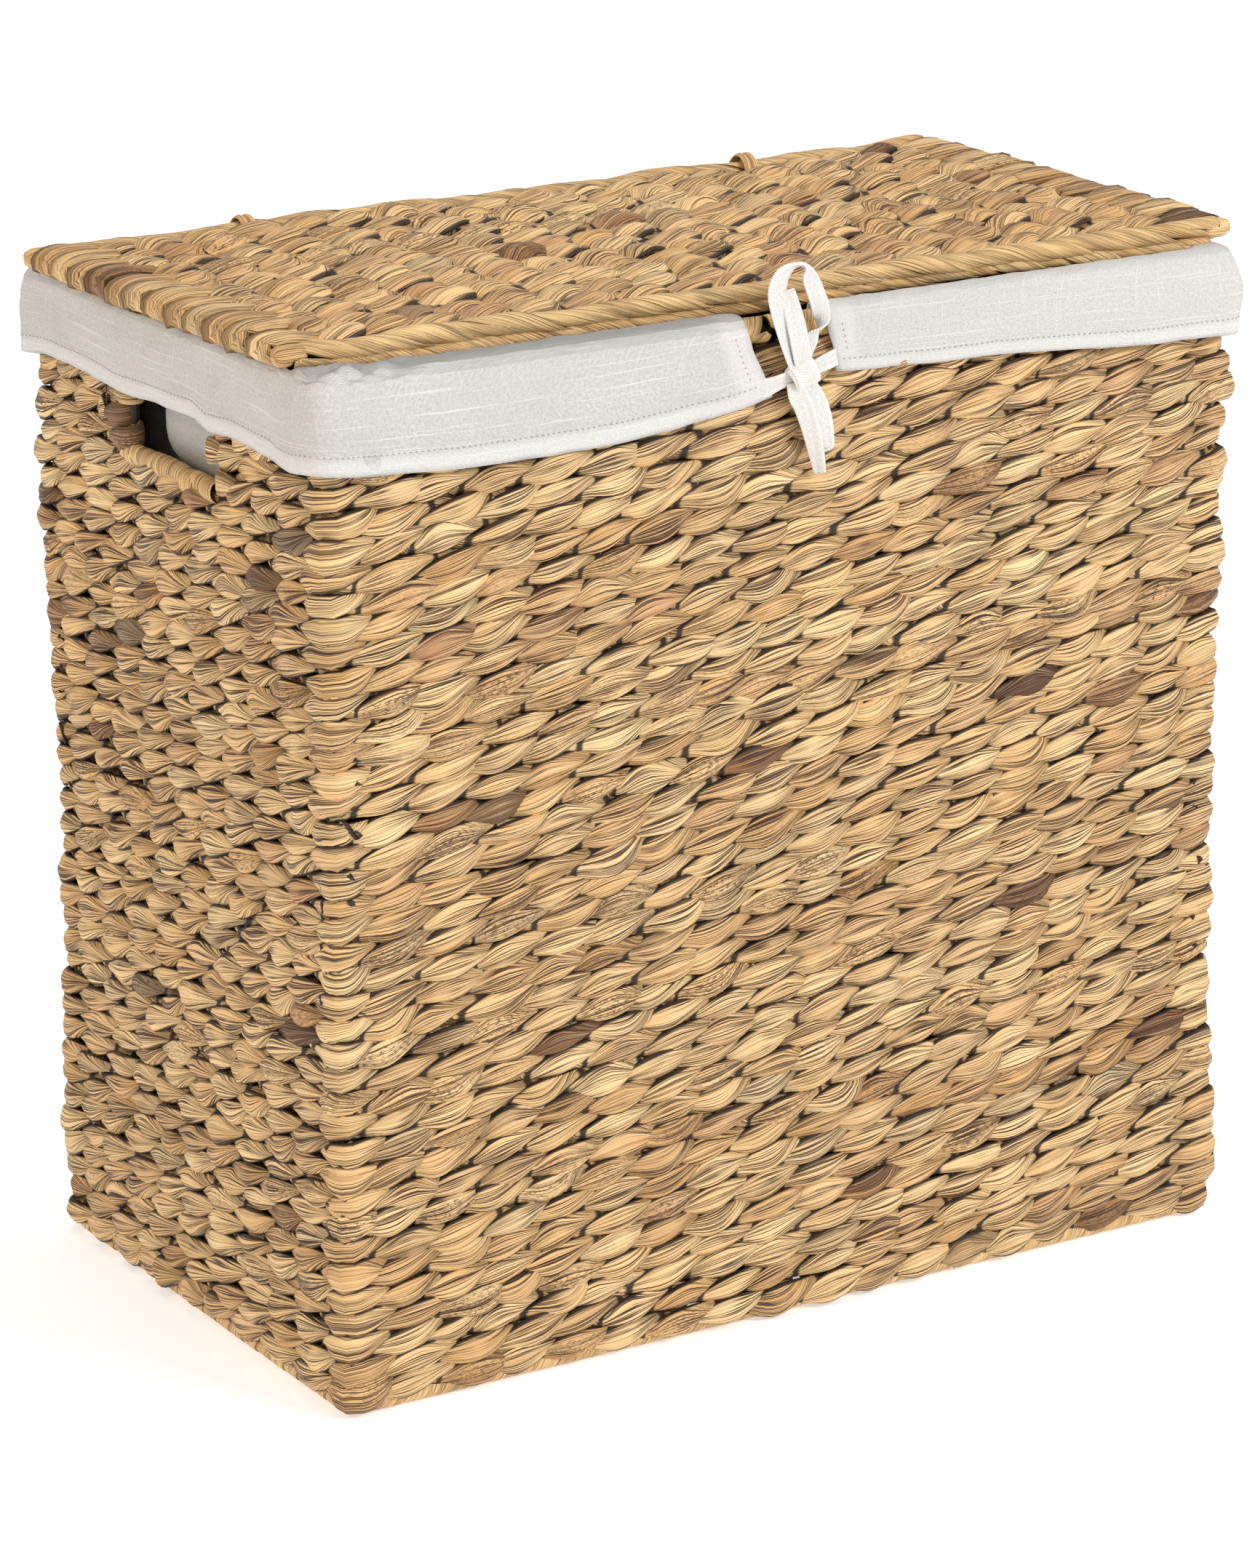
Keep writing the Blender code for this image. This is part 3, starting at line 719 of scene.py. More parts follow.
# How far the walls lean outwards, as heights and distances: at the foot, and below the cuff, which holds
# them in.
LEAN_HEIGHTS = (0.01, 0.06, 0.16, 0.28, 0.40, 0.470, 0.487, 0.500, 0.512)
LEANS = (0.0036, 0.0032, 0.0004, 0.0, 0.0026, 0.0038, 0.0022, 0.0004, -0.0012)
WIRE_RADIUS = 0.002
WALL_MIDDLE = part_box("rim_wire")[1] - Vector((1, 1, 0)) * WIRE_RADIUS
HANDLE_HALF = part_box("handle_wrap_left")[1].y
HANDLE_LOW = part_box("handle_wrap_left")[0].z
HANDLE_HOLE_HEIGHT = 0.0615
HANDLE_HIGH = HANDLE_LOW + HANDLE_HOLE_HEIGHT
HANDLE_MIDDLE = (HANDLE_LOW + HANDLE_HIGH) / 2
LEFT_HOLE_BACK = 0.18  # the stakes by which the left hole lies further back than the middle of its end
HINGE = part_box("hinge_loop_right")
HINGE_X = (HINGE[0].x + HINGE[1].x) / 2


def wall_place(outline, z, sag, bulge, drift, sharp):
    """The place function of a wall row at height z. Away from the corners, its bumps drift along the wall.

    sharp is 1 where the row's corners are sharp, and 0 where they are round.
    """

    def place(q):
        free = 1 - np.exp(-((outline.from_corner(q) / 1.3) ** 2))
        points, outward, along = outline.at(q + drift(q) * free)
        # Made longer at the corners, what lies round the rounded outline still has sharp ones.
        outward = outward / np.abs(outward).max(-1, keepdims=True) ** sharp
        points = points + outward * bulge(q)[:, None]
        points[:, 2] = z + sag(q)
        up = np.tile((0.0, 0.0, 1.0), (len(q), 1))
        return points, outward, up, along

    return place


def make_walls(material):
    outline = Outline(WALL_MIDDLE.x, WALL_MIDDLE.y, CORNER_RADIUS)
    rows = int(round((WALL_HIGH - WALL_LOW) / ROW_HEIGHT))
    pitch = (WALL_HIGH - WALL_LOW) / rows
    stakes = STAKES_ROUND
    end_right = STAKES_FRONT + STAKES_END / 2
    end_left = stakes - STAKES_END / 2 - LEFT_HOLE_BACK
    half_hole = HANDLE_HALF / (2 * WALL_MIDDLE.y) * STAKES_END
    broad_bulge = waves(6, stakes, 0.0006, rng)
    broad_sag = waves(5, stakes, 0.0010, rng)
    strands = Strands()
    made = 0
    for row in range(rows):
        z = WALL_LOW + (row + 0.5) * pitch
        own_sag = waves(20, stakes, 0.0005, rng)
        own_bulge = waves(16, stakes, 0.0004, rng)
        shift = rng.normal(0, 0.05)
        twine = WALL_TWINE if row else FOOT_TWINE
        ease = min(1.0, row / 4, (rows - 1 - row) / 4)
        place = wall_place(
            outline,
            z,
            lambda q, own=own_sag, ease=ease: own(q) + broad_sag(q) * ease,
            lambda q, own=own_bulge, lean=np.interp(z, LEAN_HEIGHTS, LEANS): own(q) + broad_bulge(q) + lean,
            waves(6, stakes, 0.14, rng),
            0.0 if row == 0 else 1.0,
        )
        if HANDLE_LOW + 0.2 * pitch < z < HANDLE_HIGH:
            # In stakes: how far the strands stop short of the hole, and how much of that the turns take up.
            inset, turn_back = 0.34, 0.14
            spans = [
                (end_left + half_hole - stakes + inset, end_right - half_hole - inset),
                (end_right + half_hole + inset, end_left - half_hole - inset),
            ]
            for i, (first, last) in enumerate(spans):
                twined_pair(strands, place, twine, first, last, row, shift, row * 10 + i * 2)
                row_end(strands, place, twine, first - turn_back, -1, row * 10 + i)
                row_end(strands, place, twine, last + turn_back, 1, row * 10 + i + 5)
        else:
            twined_pair(strands, place, twine, 0, stakes, row, shift, row * 10, closed=True)
        if (row + 1) % ROWS_PER_PIECE == 0 or row == rows - 1:
            made += 1
            strands.build(f"twined_rows_{made:02d}", material, "basket", "water_hyacinth", *WALL_NODES)
            strands = Strands()


# ---------------------------------------------------------------- lid and base


def flat_place(x_low, stake, y, z, sag, bulge):
    """The place function of a row that runs along X in a flat panel."""

    def place(q):
        x = x_low + q * stake
        points = np.stack([x, y + sag(x), z + bulge(x)], -1)
        outward = np.tile((0.0, 0.0, 1.0), (len(q), 1))
        up = np.tile((0.0, 1.0, 0.0), (len(q), 1))
        return points, outward, up, x

    return place


def make_lid(material, border_material):
    low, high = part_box("lid_weave")
    pitch = (high.y - low.y) / LID_ROWS
    z = (low.z + high.z) / 2
    inset = 0.0105  # from the end of the panel to the wire that its rows turn round
    stake = (high.x - low.x - 2 * inset) / LID_STAKES
    first, last = 0.42, LID_STAKES - 0.42
    strands = Strands()
    for row in range(LID_ROWS):
        y = low.y + (row + 0.5) * pitch
        own_sag = waves(14, 0.6, 0.0006, rng)
        own_bulge = waves(12, 0.6, 0.0006, rng)
        shift = rng.normal(0, 0.09)
        dip = 0.0045 if row == LID_ROWS - 1 else 0.0  # the last row makes room for the hinge loops

        def sag(x, own=own_sag, dip=dip):
            return own(x) - dip * np.exp(-(((np.abs(x) - HINGE_X) / 0.009) ** 2))

        place = flat_place(low.x + inset, stake, y, z, sag, own_bulge)
        number = 1000 + row * 10
        twined_pair(strands, place, LID_TWINE, first, last, row, shift, number)
        row_end(strands, place, LID_TWINE, 0.0, -1, number)
        row_end(strands, place, LID_TWINE, float(LID_STAKES), 1, number + 5)
        if row % 3 == 2:
            strands.build(f"lid_rows_{row // 3 + 1}", material, "lid", "water_hyacinth", "lid_weave")
            strands = Strands()
    for i, side in enumerate(("front", "back")):
        box_low, box_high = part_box(f"lid_border_{side}")
        y, z = (box_low.y + box_high.y) / 2, (box_low.z + box_high.z) / 2
        radius = (box_high.z - box_low.z) / 2
        ends = [(x * 0.985, y, z) for x in (box_low.x, box_high.x)]
        strands = Strands()
        line, length = straight_line(*ends, waves(12, 0.6, 0.0007, rng))
        look = {"lap": 0.0011, "uneven": 0.0005, "starts": 3}
        wound_bar(strands, line, length, radius - 0.0011, 0.025, 1200 + i, **look)
        # A thinner strand lies below the border, on the underside of the lid.
        inwards = 1 if side == "front" else -1
        under = [(x * 0.965, y - 0.0008 * inwards, z - 0.0070) for x in (box_low.x, box_high.x)]
        line, length = straight_line(*under, waves(14, 0.6, 0.0008, rng))
        look = {"lap": 0.0006, "uneven": 0.0005, "starts": 2}
        wound_bar(strands, line, length, 0.0034, 0.024, 1204 + i, **look)
        for end, way in zip(ends, (-1, 1)):
            stub(strands, end, way, 0.0100, radius - 0.0006, 1240 + i * 4 + way)
        name = f"lid_border_wrap_{side}"
        strands.build(name, border_material, "lid", "hyacinth_border", f"lid_border_{side}")


def make_base(material):
    low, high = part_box("base_weave")
    pitch = (high.y - low.y) / BASE_ROWS
    z = (low.z + high.z) / 2
    inset = 0.009  # from the end of the panel to the wire that its rows turn round
    stake = (high.x - low.x - 2 * inset) / BASE_STAKES
    strands = Strands()
    for row in range(BASE_ROWS):
        y = low.y + (row + 0.5) * pitch
        sag = waves(12, 0.6, 0.0005, rng)
        bulge = waves(10, 0.6, 0.0004, rng)
        place = flat_place(low.x + inset, stake, y, z, sag, bulge)
        shift = rng.normal(0, 0.08)
        number = 1400 + row * 10
        twined_pair(strands, place, BASE_TWINE, 0, BASE_STAKES, row, shift, number)
        row_end(strands, place, BASE_TWINE, 0.0, -1, number + 2)
        row_end(strands, place, BASE_TWINE, float(BASE_STAKES), 1, number + 4)
    strands.build("base_rows", material, "basket", "water_hyacinth", "base_weave")


# ---------------------------------------------------------------- wrapped wires of the basket


def bind_ring(name, part, material, corner, first, sag, *winding, **look):
    """The binding round the rim's or the base's wire, from the first place all the way round to it."""
    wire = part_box(f"{part}_wire")
    z = (wire[0].z + wire[1].z) / 2
    strands = Strands()
    places = (first, first + STAKES_ROUND)
    line, length = ring_line(WALL_MIDDLE.x, WALL_MIDDLE.y, corner, z, *places, sag)
    wound_bar(strands, line, length, *winding, **look)
    nodes = [f"{part}_wrap_{side}" for side in ("front", "back", "left", "right")]
    strands.build(name, material, "basket", "hyacinth_border", *nodes)


def make_wraps(material):
    sag = waves(30, 1.7, 0.0004, rng)
    bind_ring("rim_binding", "rim", material, 0.008, 8.0, sag, 0.0066, 0.021, 1300)
    bind_ring("foot_binding", "base", material, 0.006, 30.0, None, 0.0050, 0.0155, 1301, uneven=0.0002)
    for i, side in enumerate(("left", "right")):
        low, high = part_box(f"handle_wrap_{side}")
        x, z = (low.x + high.x) / 2, (low.z + high.z) / 2
        strands = Strands()
        x += math.copysign(0.003, x)
        shift = 0.005 if side == "left" else 0.0
        ends = [(x, low.y - 0.004 + shift, z), (x, high.y + 0.004 + shift, z)]
        line, length = straight_line(*ends, waves(5, 0.2, 0.0006, rng))
        wound_bar(strands, line, length, 0.0058, 0.0115, 1310 + i, uneven=0.0004)
        name = f"handle_binding_{side}"
        strands.build(name, material, "basket", "hyacinth_border", f"handle_wrap_{side}")


def make_hinge_loops(material):
    """Two strands in a loop round the lid's back border and the rim, at each hinge."""
    lid_box, rim_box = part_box("lid_border_back"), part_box("rim_wire")
    axis = np.array(((lid_box[0].y + lid_box[1].y) / 2, (lid_box[0].z + lid_box[1].z) / 2))
    rim = np.array((rim_box[1].y - WIRE_RADIUS, (rim_box[0].z + rim_box[1].z) / 2))
    away = math.atan2(axis[1] - rim[1], axis[0] - rim[0])
    radius, leaf_width, apart = 0.0084, 0.005, 0.0044
    steps = 14  # of each half turn
    for side, x in (("left", -HINGE_X), ("right", HINGE_X)):
        strands = Strands()
        for lane, offset in enumerate((-apart / 2, apart / 2)):
            path, outs = [], []
            for centre, middle in ((axis, away), (rim, away + math.pi)):
                for step in range(steps + 1):
                    turn = middle + (step / steps - 0.5) * math.pi
                    out = np.array((0, math.cos(turn), math.sin(turn)))
                    path.append(np.array((x + offset, *centre)) + radius * out)
                    outs.append(out)
            path, outs = np.array(path), np.array(outs)
            tangent = unit(np.roll(path, -1, 0) - np.roll(path, 1, 0))
            across = np.cross(tangent, outs)
            over, out = section_shape(0.0023, 0.0010, 0.0003, 0.0001, (lane * 2.0, lane * 3.0))
            points = swept(path, across, over, outs, out)
            along = np.cumsum(np.linalg.norm(np.roll(path, -1, 0) - path, axis=1))[:, None]
            shape = points.shape[:2]
            grain = together(shape, along, SECTION / math.pi * leaf_width, lane * 3 + 40)
            strands.add(points, True, grain, together(shape, 0.30, 0.05, 0))
        strands.build(f"hinge_strands_{side}", material, "basket", "hyacinth_border", f"hinge_loop_{side}")


# ---------------------------------------------------------------- cloth


def cloth_grid(name, points, cloth, material, thickness=0.0008, closed=False, keep=None):
    """A sheet from a grid of points. keep says which faces stay, where not all of them do.

    cloth is each point's place on the flat cloth, and how much of a double layer it is.
    """
    rows, columns = points.shape[:2]
    i = np.arange(rows - 1)[:, None]
    j = np.arange(columns if closed else columns - 1)[None, :]
    k = (j + 1) % columns
    faces = np.stack([i * columns + j, i * columns + k, (i + 1) * columns + k, (i + 1) * columns + j], -1)
    if keep is not None:
        faces = faces[keep]
    notes = {"cloth": cloth.reshape(-1, 3)}
    made = add_mesh(name, points.reshape(-1, 3), faces.reshape(-1, 4), material, notes)
    if keep is not None:
        bm = bmesh.new()
        bm.from_mesh(made.data)
        loose = [v for v in bm.verts if not v.link_faces]
        bmesh.ops.delete(bm, geom=loose, context="VERTS")
        bm.to_mesh(made.data)
        bm.free()
    solid = made.modifiers.new("thickness", "SOLIDIFY")
    solid.thickness = thickness
    solid.offset = 0.0
    return made


LINER_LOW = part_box("liner_base")[1].z
LINER_X, LINER_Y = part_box("liner_base")[1].x, -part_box("liner_front")[0].y
LINER_CORNER = 0.022
SHOULDER_Z = 0.515  # above it, the liner opens out towards the rim
RIM_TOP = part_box("rim_wrap_front")[1].z
CUFF_FACE_X, CUFF_FACE_Y = -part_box("cuff_left")[0].x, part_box("cuff_back")[1].y
SLOT_HALF_WIDTH = 0.0052


def make_liner(material):
    """The bag inside the basket: a ring of cloth that hangs from the rim, and its floor."""
    top_z = RIM_TOP - 0.0100
    columns = np.linspace(0, STAKES_ROUND, 300, endpoint=False)
    levels = np.concatenate([np.linspace(LINER_LOW, 0.42, 20), np.linspace(0.42, top_z, 22)[1:]])
    folds = waves(34, STAKES_ROUND, 0.0035, rng)
    fine = ripples(30, 0.03, 0.16, 0.0016, rng)
    points, cloth = [], []
    for z in levels:
        open_out = np.clip((z - SHOULDER_Z) / (top_z - SHOULDER_Z), 0, 1)
        half_x = LINER_X + open_out * (WALL_MIDDLE.x - 0.0095 - LINER_X)
        outline = Outline(half_x, LINER_Y - 0.0006, LINER_CORNER - 0.012 * open_out)
        at, outward, along = outline.at(columns)
        hang = (1 - open_out) * np.clip((z - LINER_LOW) / 0.05, 0, 1)
        up = np.full(len(along), z)
        loose = np.abs(folds(columns)) + fine(along, up) + 0.0010
        at = at - outward * (loose * hang)[:, None]
        # At the hand holes the cloth lies against the wall.
        by_hole = np.exp(-((at[:, 1] / 0.062) ** 6)) * np.exp(-(((z - HANDLE_MIDDLE) / 0.036) ** 4))
        against_wall = np.sign(at[:, 0]) * (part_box("liner_right")[1].x - 0.0014)
        at[:, 0] += (against_wall - at[:, 0]) * by_hole * (np.abs(at[:, 0]) > LINER_X - 0.02)
        at[:, 2] = z
        points.append(at)
        cloth.append(together(along.shape, along, z, 0))
    sides = cloth_grid("liner_sides", np.array(points), np.array(cloth), material, closed=True)
    nodes = ("liner_front", "liner_back", "liner_left", "liner_right")
    stand_for(sides, "basket", "liner_cotton", *nodes)

    x = np.linspace(-LINER_X + 0.001, LINER_X - 0.001, 70)
    y = np.linspace(-LINER_Y + 0.002, LINER_Y - 0.002, 44)
    grid_y, grid_x = np.meshgrid(y, x, indexing="ij")
    lumps = ripples(40, 0.03, 0.20, 0.0010, rng)
    edge = np.minimum(1, np.minimum(LINER_X - np.abs(grid_x), LINER_Y - np.abs(grid_y)) / 0.02)
    grid_z = LINER_LOW + 0.0012 + np.abs(lumps(grid_x, grid_y)) * edge
    cloth = together(grid_x.shape, grid_x + 1, grid_y + 1, 0)
    floor = cloth_grid("liner_floor", np.stack([grid_x, grid_y, grid_z], -1), cloth, material)
    stand_for(floor, "basket", "liner_cotton", "liner_base")


# The hem's height along the front (by x) and along the ends (by y): the ties pull the front flaps up.
HEM_FRONT = (
    (-0.280, 0.5035), (-0.250, 0.4998), (-0.200, 0.4972), (-0.150, 0.4965), (-0.110, 0.4975),
    (-0.077, 0.5000), (-0.040, 0.5053), (-0.018, 0.5100), (0.0231, 0.5180), (0.050, 0.5163),
    (0.081, 0.5150), (0.116, 0.5150), (0.151, 0.5128), (0.187, 0.5103), (0.223, 0.5083), (0.280, 0.5070),
)
HEM_END = (
    (-0.168, 0.5034), (-0.152, 0.5020), (-0.128, 0.5015), (-0.100, 0.5045), (-0.072, 0.5054),
    (-0.052, 0.5035), (-0.036, 0.5075), (-0.010, 0.5080), (0.032, 0.5058), (0.065, 0.5052),
    (0.096, 0.5070), (0.127, 0.5080), (0.168, 0.5065),
)
# The slit's two edges, as x at the rim and x at the hem.
FLAP_LEFT = (-0.0345, -0.0175)
FLAP_RIGHT = (0.0155, 0.0231)


def hem_height(points):
    """The height of the cuff's lower edge below each point."""
    x, y = points[..., 0], points[..., 1]
    front = np.interp(x, *zip(*HEM_FRONT))
    end = np.interp(y, *zip(*HEM_END))
    back = 0.5055 + 0.0012 * np.sin(x * 21)
    on_front = np.clip((-y - CUFF_FACE_Y + 0.02) / 0.015, 0, 1)
    on_back = np.clip((y - CUFF_FACE_Y + 0.02) / 0.015, 0, 1)
    return end * (1 - on_front) * (1 - on_back) + front * on_front + back * on_back


def cuff_levels():
    """Half sizes, corner radius, share of the drop and height of each level of the cuff, from the inside."""
    inner_x, inner_y = WALL_MIDDLE.x - 0.0100, WALL_MIDDLE.y - 0.0088
    face_x, face_y = CUFF_FACE_X + 0.0022, CUFF_FACE_Y + 0.0008
    levels = [
        (inner_x, inner_y, 0.008, 0.0, RIM_TOP - 0.014),
        (inner_x + 0.0004, inner_y + 0.0004, 0.008, 0.0, RIM_TOP - 0.005),
    ]
    steps = 7
    for i in range(steps + 1):
        out = 0.5 - 0.5 * math.cos(i / steps * math.pi)
        rise = math.sin(i / steps * math.pi) ** 0.6
        half_x = inner_x + 0.001 + (face_x - 0.0016 - inner_x) * out
        half_y = inner_y + 0.001 + (face_y - 0.0016 - inner_y) * out
        levels.append((half_x, half_y, 0.008 + 0.004 * out, 0.0, RIM_TOP - 0.0012 + 0.0038 * rise))
    for drop in np.linspace(0.05, 1.0, 15):
        belly = 0.0012 * math.sin(min(drop * 1.1, 1) * math.pi)
        levels.append((face_x + belly, face_y + belly * 0.7, 0.012, float(drop), None))
    levels.append((face_x - 0.0014, face_y - 0.0014, 0.0105, 0.985, None))
    levels.append((face_x - 0.0021, face_y - 0.0021, 0.0105, 0.80, None))
    return levels


STITCH_LENGTH, STITCH_PITCH, STITCH_RADIUS = 0.0021, 0.0033, 0.00040
# Rows of the cuff's grid: the first below the rim, and the one that the hem's stitches run along.
FIRST_OUTER_LEVEL, HEM_STITCH_LEVEL = 10, 21


def make_stitches(points):
    """Running stitches along the cuff's hem and down the two edges of its slit."""
    thread = cotton_material("sewing_thread", (0.46, 0.45, 0.43), (0.50, 0.49, 0.47))
    hem = points[HEM_STITCH_LEVEL]
    slit = slice(FIRST_OUTER_LEVEL, HEM_STITCH_LEVEL + 1)
    lines = [hem, points[slit, 2], points[slit, -3]]
    seen, faces, cloth, count = [], [], [], 0
    turns = np.arange(4) * math.pi / 2
    for line in lines:
        distance = distances(line)
        starts = np.arange(0.004, distance[-1] - 0.006, STITCH_PITCH)
        for start in starts:
            s = start + np.linspace(0, STITCH_LENGTH, 4)
            path = np.stack([np.interp(s, distance, line[:, k]) for k in range(3)], -1)
            on_end = abs(path[0, 0]) / WALL_MIDDLE.x > abs(path[0, 1]) / WALL_MIDDLE.y
            out = np.sign(path) * ((1, 0, 0) if on_end else (0, 1, 0))
            path = path + out * np.array([-0.0004, 0.00055, 0.00055, -0.0004])[:, None]
            tangent = unit(np.gradient(path, axis=0))
            across = np.cross(tangent, out)
            spokes = out[:, None] * np.cos(turns)[:, None] + across[:, None] * np.sin(turns)[:, None]
            tube = path[:, None] + spokes * STITCH_RADIUS
            seen.append(tube.reshape(-1, 3))
            faces.append(tube_faces(4, 4, False) + count)
            cloth.append(together((16,), s.repeat(4), np.tile(turns, 4) * STITCH_RADIUS, 1))
            count += 16
    notes = {"cloth": np.concatenate(cloth)}
    made = add_mesh("hem_stitches", np.concatenate(seen), np.concatenate(faces), thread, notes)
    stand_for(made, "basket", "liner_cotton")


def make_cuff(material):
    """The liner's cuff, folded out over the rim: one strip, from the slit's right edge round to its left."""
    counts = (64, 64, 120, 64, 60)
    wrinkle = ripples(60, 0.018, 0.11, 0.00075, rng)
    sway = ripples(40, 0.05, 0.22, 0.0011, rng)
    crumple = ripples(40, 0.012, 0.05, 0.0009, rng)
    points, cloth = [], []
    down = 0.0
    for half_x, half_y, radius, drop, z in cuff_levels():
        outline = Outline(half_x, half_y, radius)
        right_x = FLAP_RIGHT[0] + (FLAP_RIGHT[1] - FLAP_RIGHT[0]) * drop
        left_x = FLAP_LEFT[0] + (FLAP_LEFT[1] - FLAP_LEFT[0]) * drop
        q_right = STAKES_FRONT * (right_x + half_x) / (2 * half_x)
        q_left = STAKES_ROUND + STAKES_FRONT * (left_x + half_x) / (2 * half_x)
        stops = [q_right, *CORNER_STAKES[1:], q_left]
        stretches = [np.linspace(a, b, n, endpoint=False) for a, b, n in zip(stops, stops[1:], counts)]
        at, outward, along = outline.at(np.concatenate([*stretches, [q_left]]))
        shoulder = RIM_TOP - 0.001
        at[:, 2] = shoulder + (hem_height(at) - shoulder) * drop if z is None else z
        if points:
            down += float(np.linalg.norm(at - before, axis=1).mean())
        before = at.copy()
        v = np.full(len(along), down)
        loose = np.clip(drop * 3, 0.12, 1)
        below = np.full(len(along), drop * 0.05)
        at = at + outward * ((wrinkle(along, below) + sway(along, below * 0.4)) * loose)[:, None]
        # Crumpled on top near the front left corner, square at the front right, puffed out at the back left.
        near_corner = np.exp(-(((at[:, 0] + 0.262) / 0.03) ** 2)) * (at[:, 1] < -0.12) + 0.25
        x, y = at[:, 0], at[:, 1]
        square = np.exp(-((x - half_x) ** 2 + (y + half_y) ** 2) / 0.006**2) * 0.0018
        puffed = np.exp(-((x + half_x) ** 2 + (y - half_y) ** 2) / 0.016**2) * 0.0044
        at = at + outward * ((square + puffed) * min(drop * 4, 1))[:, None]
        # The right end lies closer to the wall.
        at[:, 0] -= 0.0022 * np.clip((x - 0.262) / 0.018, 0, 1) * (half_x > CUFF_FACE_X)
        on_top = 0.0 if z is not None and z < RIM_TOP - 0.004 else math.exp(-((drop / 0.10) ** 2))
        at[:, 2] += np.abs(crumple(along, v)) * near_corner * on_top * 1.6
        from_end = np.minimum(np.arange(len(at)), len(at) - 1 - np.arange(len(at)))
        # Double at the hem and at the slit's edges, and partly double on the front right of the slit.
        fold = np.maximum(np.clip((drop - 0.80) / 0.03, 0, 1), np.clip(4.5 - from_end, 0, 1))
        fold = np.maximum(fold, 0.30 * (np.arange(len(at)) < counts[0]))
        points.append(at)
        cloth.append(np.stack([along, v, fold], -1))
    points, cloth = np.array(points), np.array(cloth)
    make_stitches(points)
    # The loops of the lid pass through two slots in the cuff, and the inside is open below them too.
    centre = (points[:-1, :-1] + points[1:, 1:]) / 2
    in_slot = (np.abs(np.abs(centre[..., 0]) - HINGE_X) < SLOT_HALF_WIDTH) & (centre[..., 1] > 0.12)
    in_slot &= (centre[..., 2] > HINGE[0].z - 0.001) | (np.arange(len(centre)) < 3)[:, None]
    strip = cloth_grid("liner_cuff", points, cloth, material, 0.0009, keep=~in_slot)
    nodes = [f"cuff_{place}" for place in ("front_left", "front_right", "back", "left", "right")]
    stand_for(strip, "basket", "liner_cotton", *nodes)


# ---------------------------------------------------------------- bow

RIBBON_WIDTH, TAPE_THICKNESS, KNOT_WIDTH = 0.0095, 0.0011, 0.015
FORWARDS = np.array((0.0, -1.0, 0.0))

# Ribbons of the bow by the nodes that they stand for, as points in front of the cuff: x, how far in front
# of it, z, width, and the degrees by which it is turned from facing forwards.
RIBBONS = {
    "bow_loop_upper": [
        (-0.0062, 0.0035, 0.5235, 0.0070, 40), (-0.0098, 0.0045, 0.5280, 0.0080, 36),
        (-0.0142, 0.0050, 0.5420, 0.0096, 22), (-0.0176, 0.0052, 0.5560, 0.0106, 8),
        (-0.0184, 0.0050, 0.5655, 0.0110, 0), (-0.0152, 0.0044, 0.5728, 0.0106, 8),
        (-0.0090, 0.0040, 0.5764, 0.0098, 40), (-0.0018, 0.0030, 0.5772, 0.0090, 95),
        (0.0022, 0.0022, 0.5722, 0.0098, 160), (0.0052, 0.0022, 0.5660, 0.0104, 176),
        (0.0086, 0.0026, 0.5570, 0.0106, 182), (0.0102, 0.0026, 0.5490, 0.0092, 215),
        (0.0090, 0.0018, 0.5435, 0.0086, 290), (0.0056, 0.0010, 0.5385, 0.0100, 345),
        (0.0012, 0.0010, 0.5320, 0.0104, 360), (-0.0020, 0.0015, 0.5240, 0.0090, 360),
    ],
    "bow_tail_upper": [
        (-0.0130, 0.0060, 0.5662, 0.0078, 20), (-0.0112, 0.0062, 0.5600, 0.0090, 14),
        (-0.0084, 0.0064, 0.5500, 0.0104, 6), (-0.0056, 0.0062, 0.5390, 0.0112, 0),
        (-0.0030, 0.0056, 0.5280, 0.0110, 0), (-0.0015, 0.0045, 0.5220, 0.0095, 0),
    ],
    "bow_loop_lower": [
        (-0.0012, 0.0042, 0.5200, 0.0090, 0), (0.0018, 0.0050, 0.5130, 0.0104, -8),
        (0.0062, 0.0058, 0.5050, 0.0116, -12), (0.0092, 0.0062, 0.4950, 0.0118, -10),
        (0.0108, 0.0060, 0.4860, 0.0104, -6), (0.0116, 0.0048, 0.4808, 0.0092, 0),
        (0.0108, 0.0032, 0.4822, 0.0090, 8), (0.0080, 0.0026, 0.4900, 0.0096, 14),
        (0.0038, 0.0024, 0.5010, 0.0098, 16), (0.0000, 0.0026, 0.5110, 0.0092, 14),
        (-0.0030, 0.0030, 0.5190, 0.0080, 10),
    ],
    "bow_tail_lower": [
        (-0.0066, 0.0044, 0.5170, 0.0100, 15), (-0.0062, 0.0062, 0.5105, 0.0112, 14),
        (-0.0036, 0.0074, 0.5040, 0.0106, 18), (0.0000, 0.0078, 0.4930, 0.0096, 26),
        (0.0042, 0.0066, 0.4800, 0.0086, 34), (0.0080, 0.0048, 0.4672, 0.0064, 44),
    ],
    "tie_left": [
        (-0.0285, -0.0030, 0.5140, 0.0100, 0), (-0.0225, -0.0008, 0.5150, 0.0104, 0),
        (-0.0165, 0.0018, 0.5172, 0.0088, 6), (-0.0115, 0.0028, 0.5190, 0.0080, 10),
        (-0.0050, 0.0034, 0.5205, 0.0075, 10),
    ],
    "tie_right": [
        (0.0000, 0.0034, 0.5215, 0.0075, 0), (0.0060, 0.0028, 0.5228, 0.0082, 0),
        (0.0110, 0.0018, 0.5240, 0.0088, 0), (0.0170, 0.0006, 0.5252, 0.0092, 0),
        (0.0215, -0.0008, 0.5260, 0.0092, 0),
    ],
}


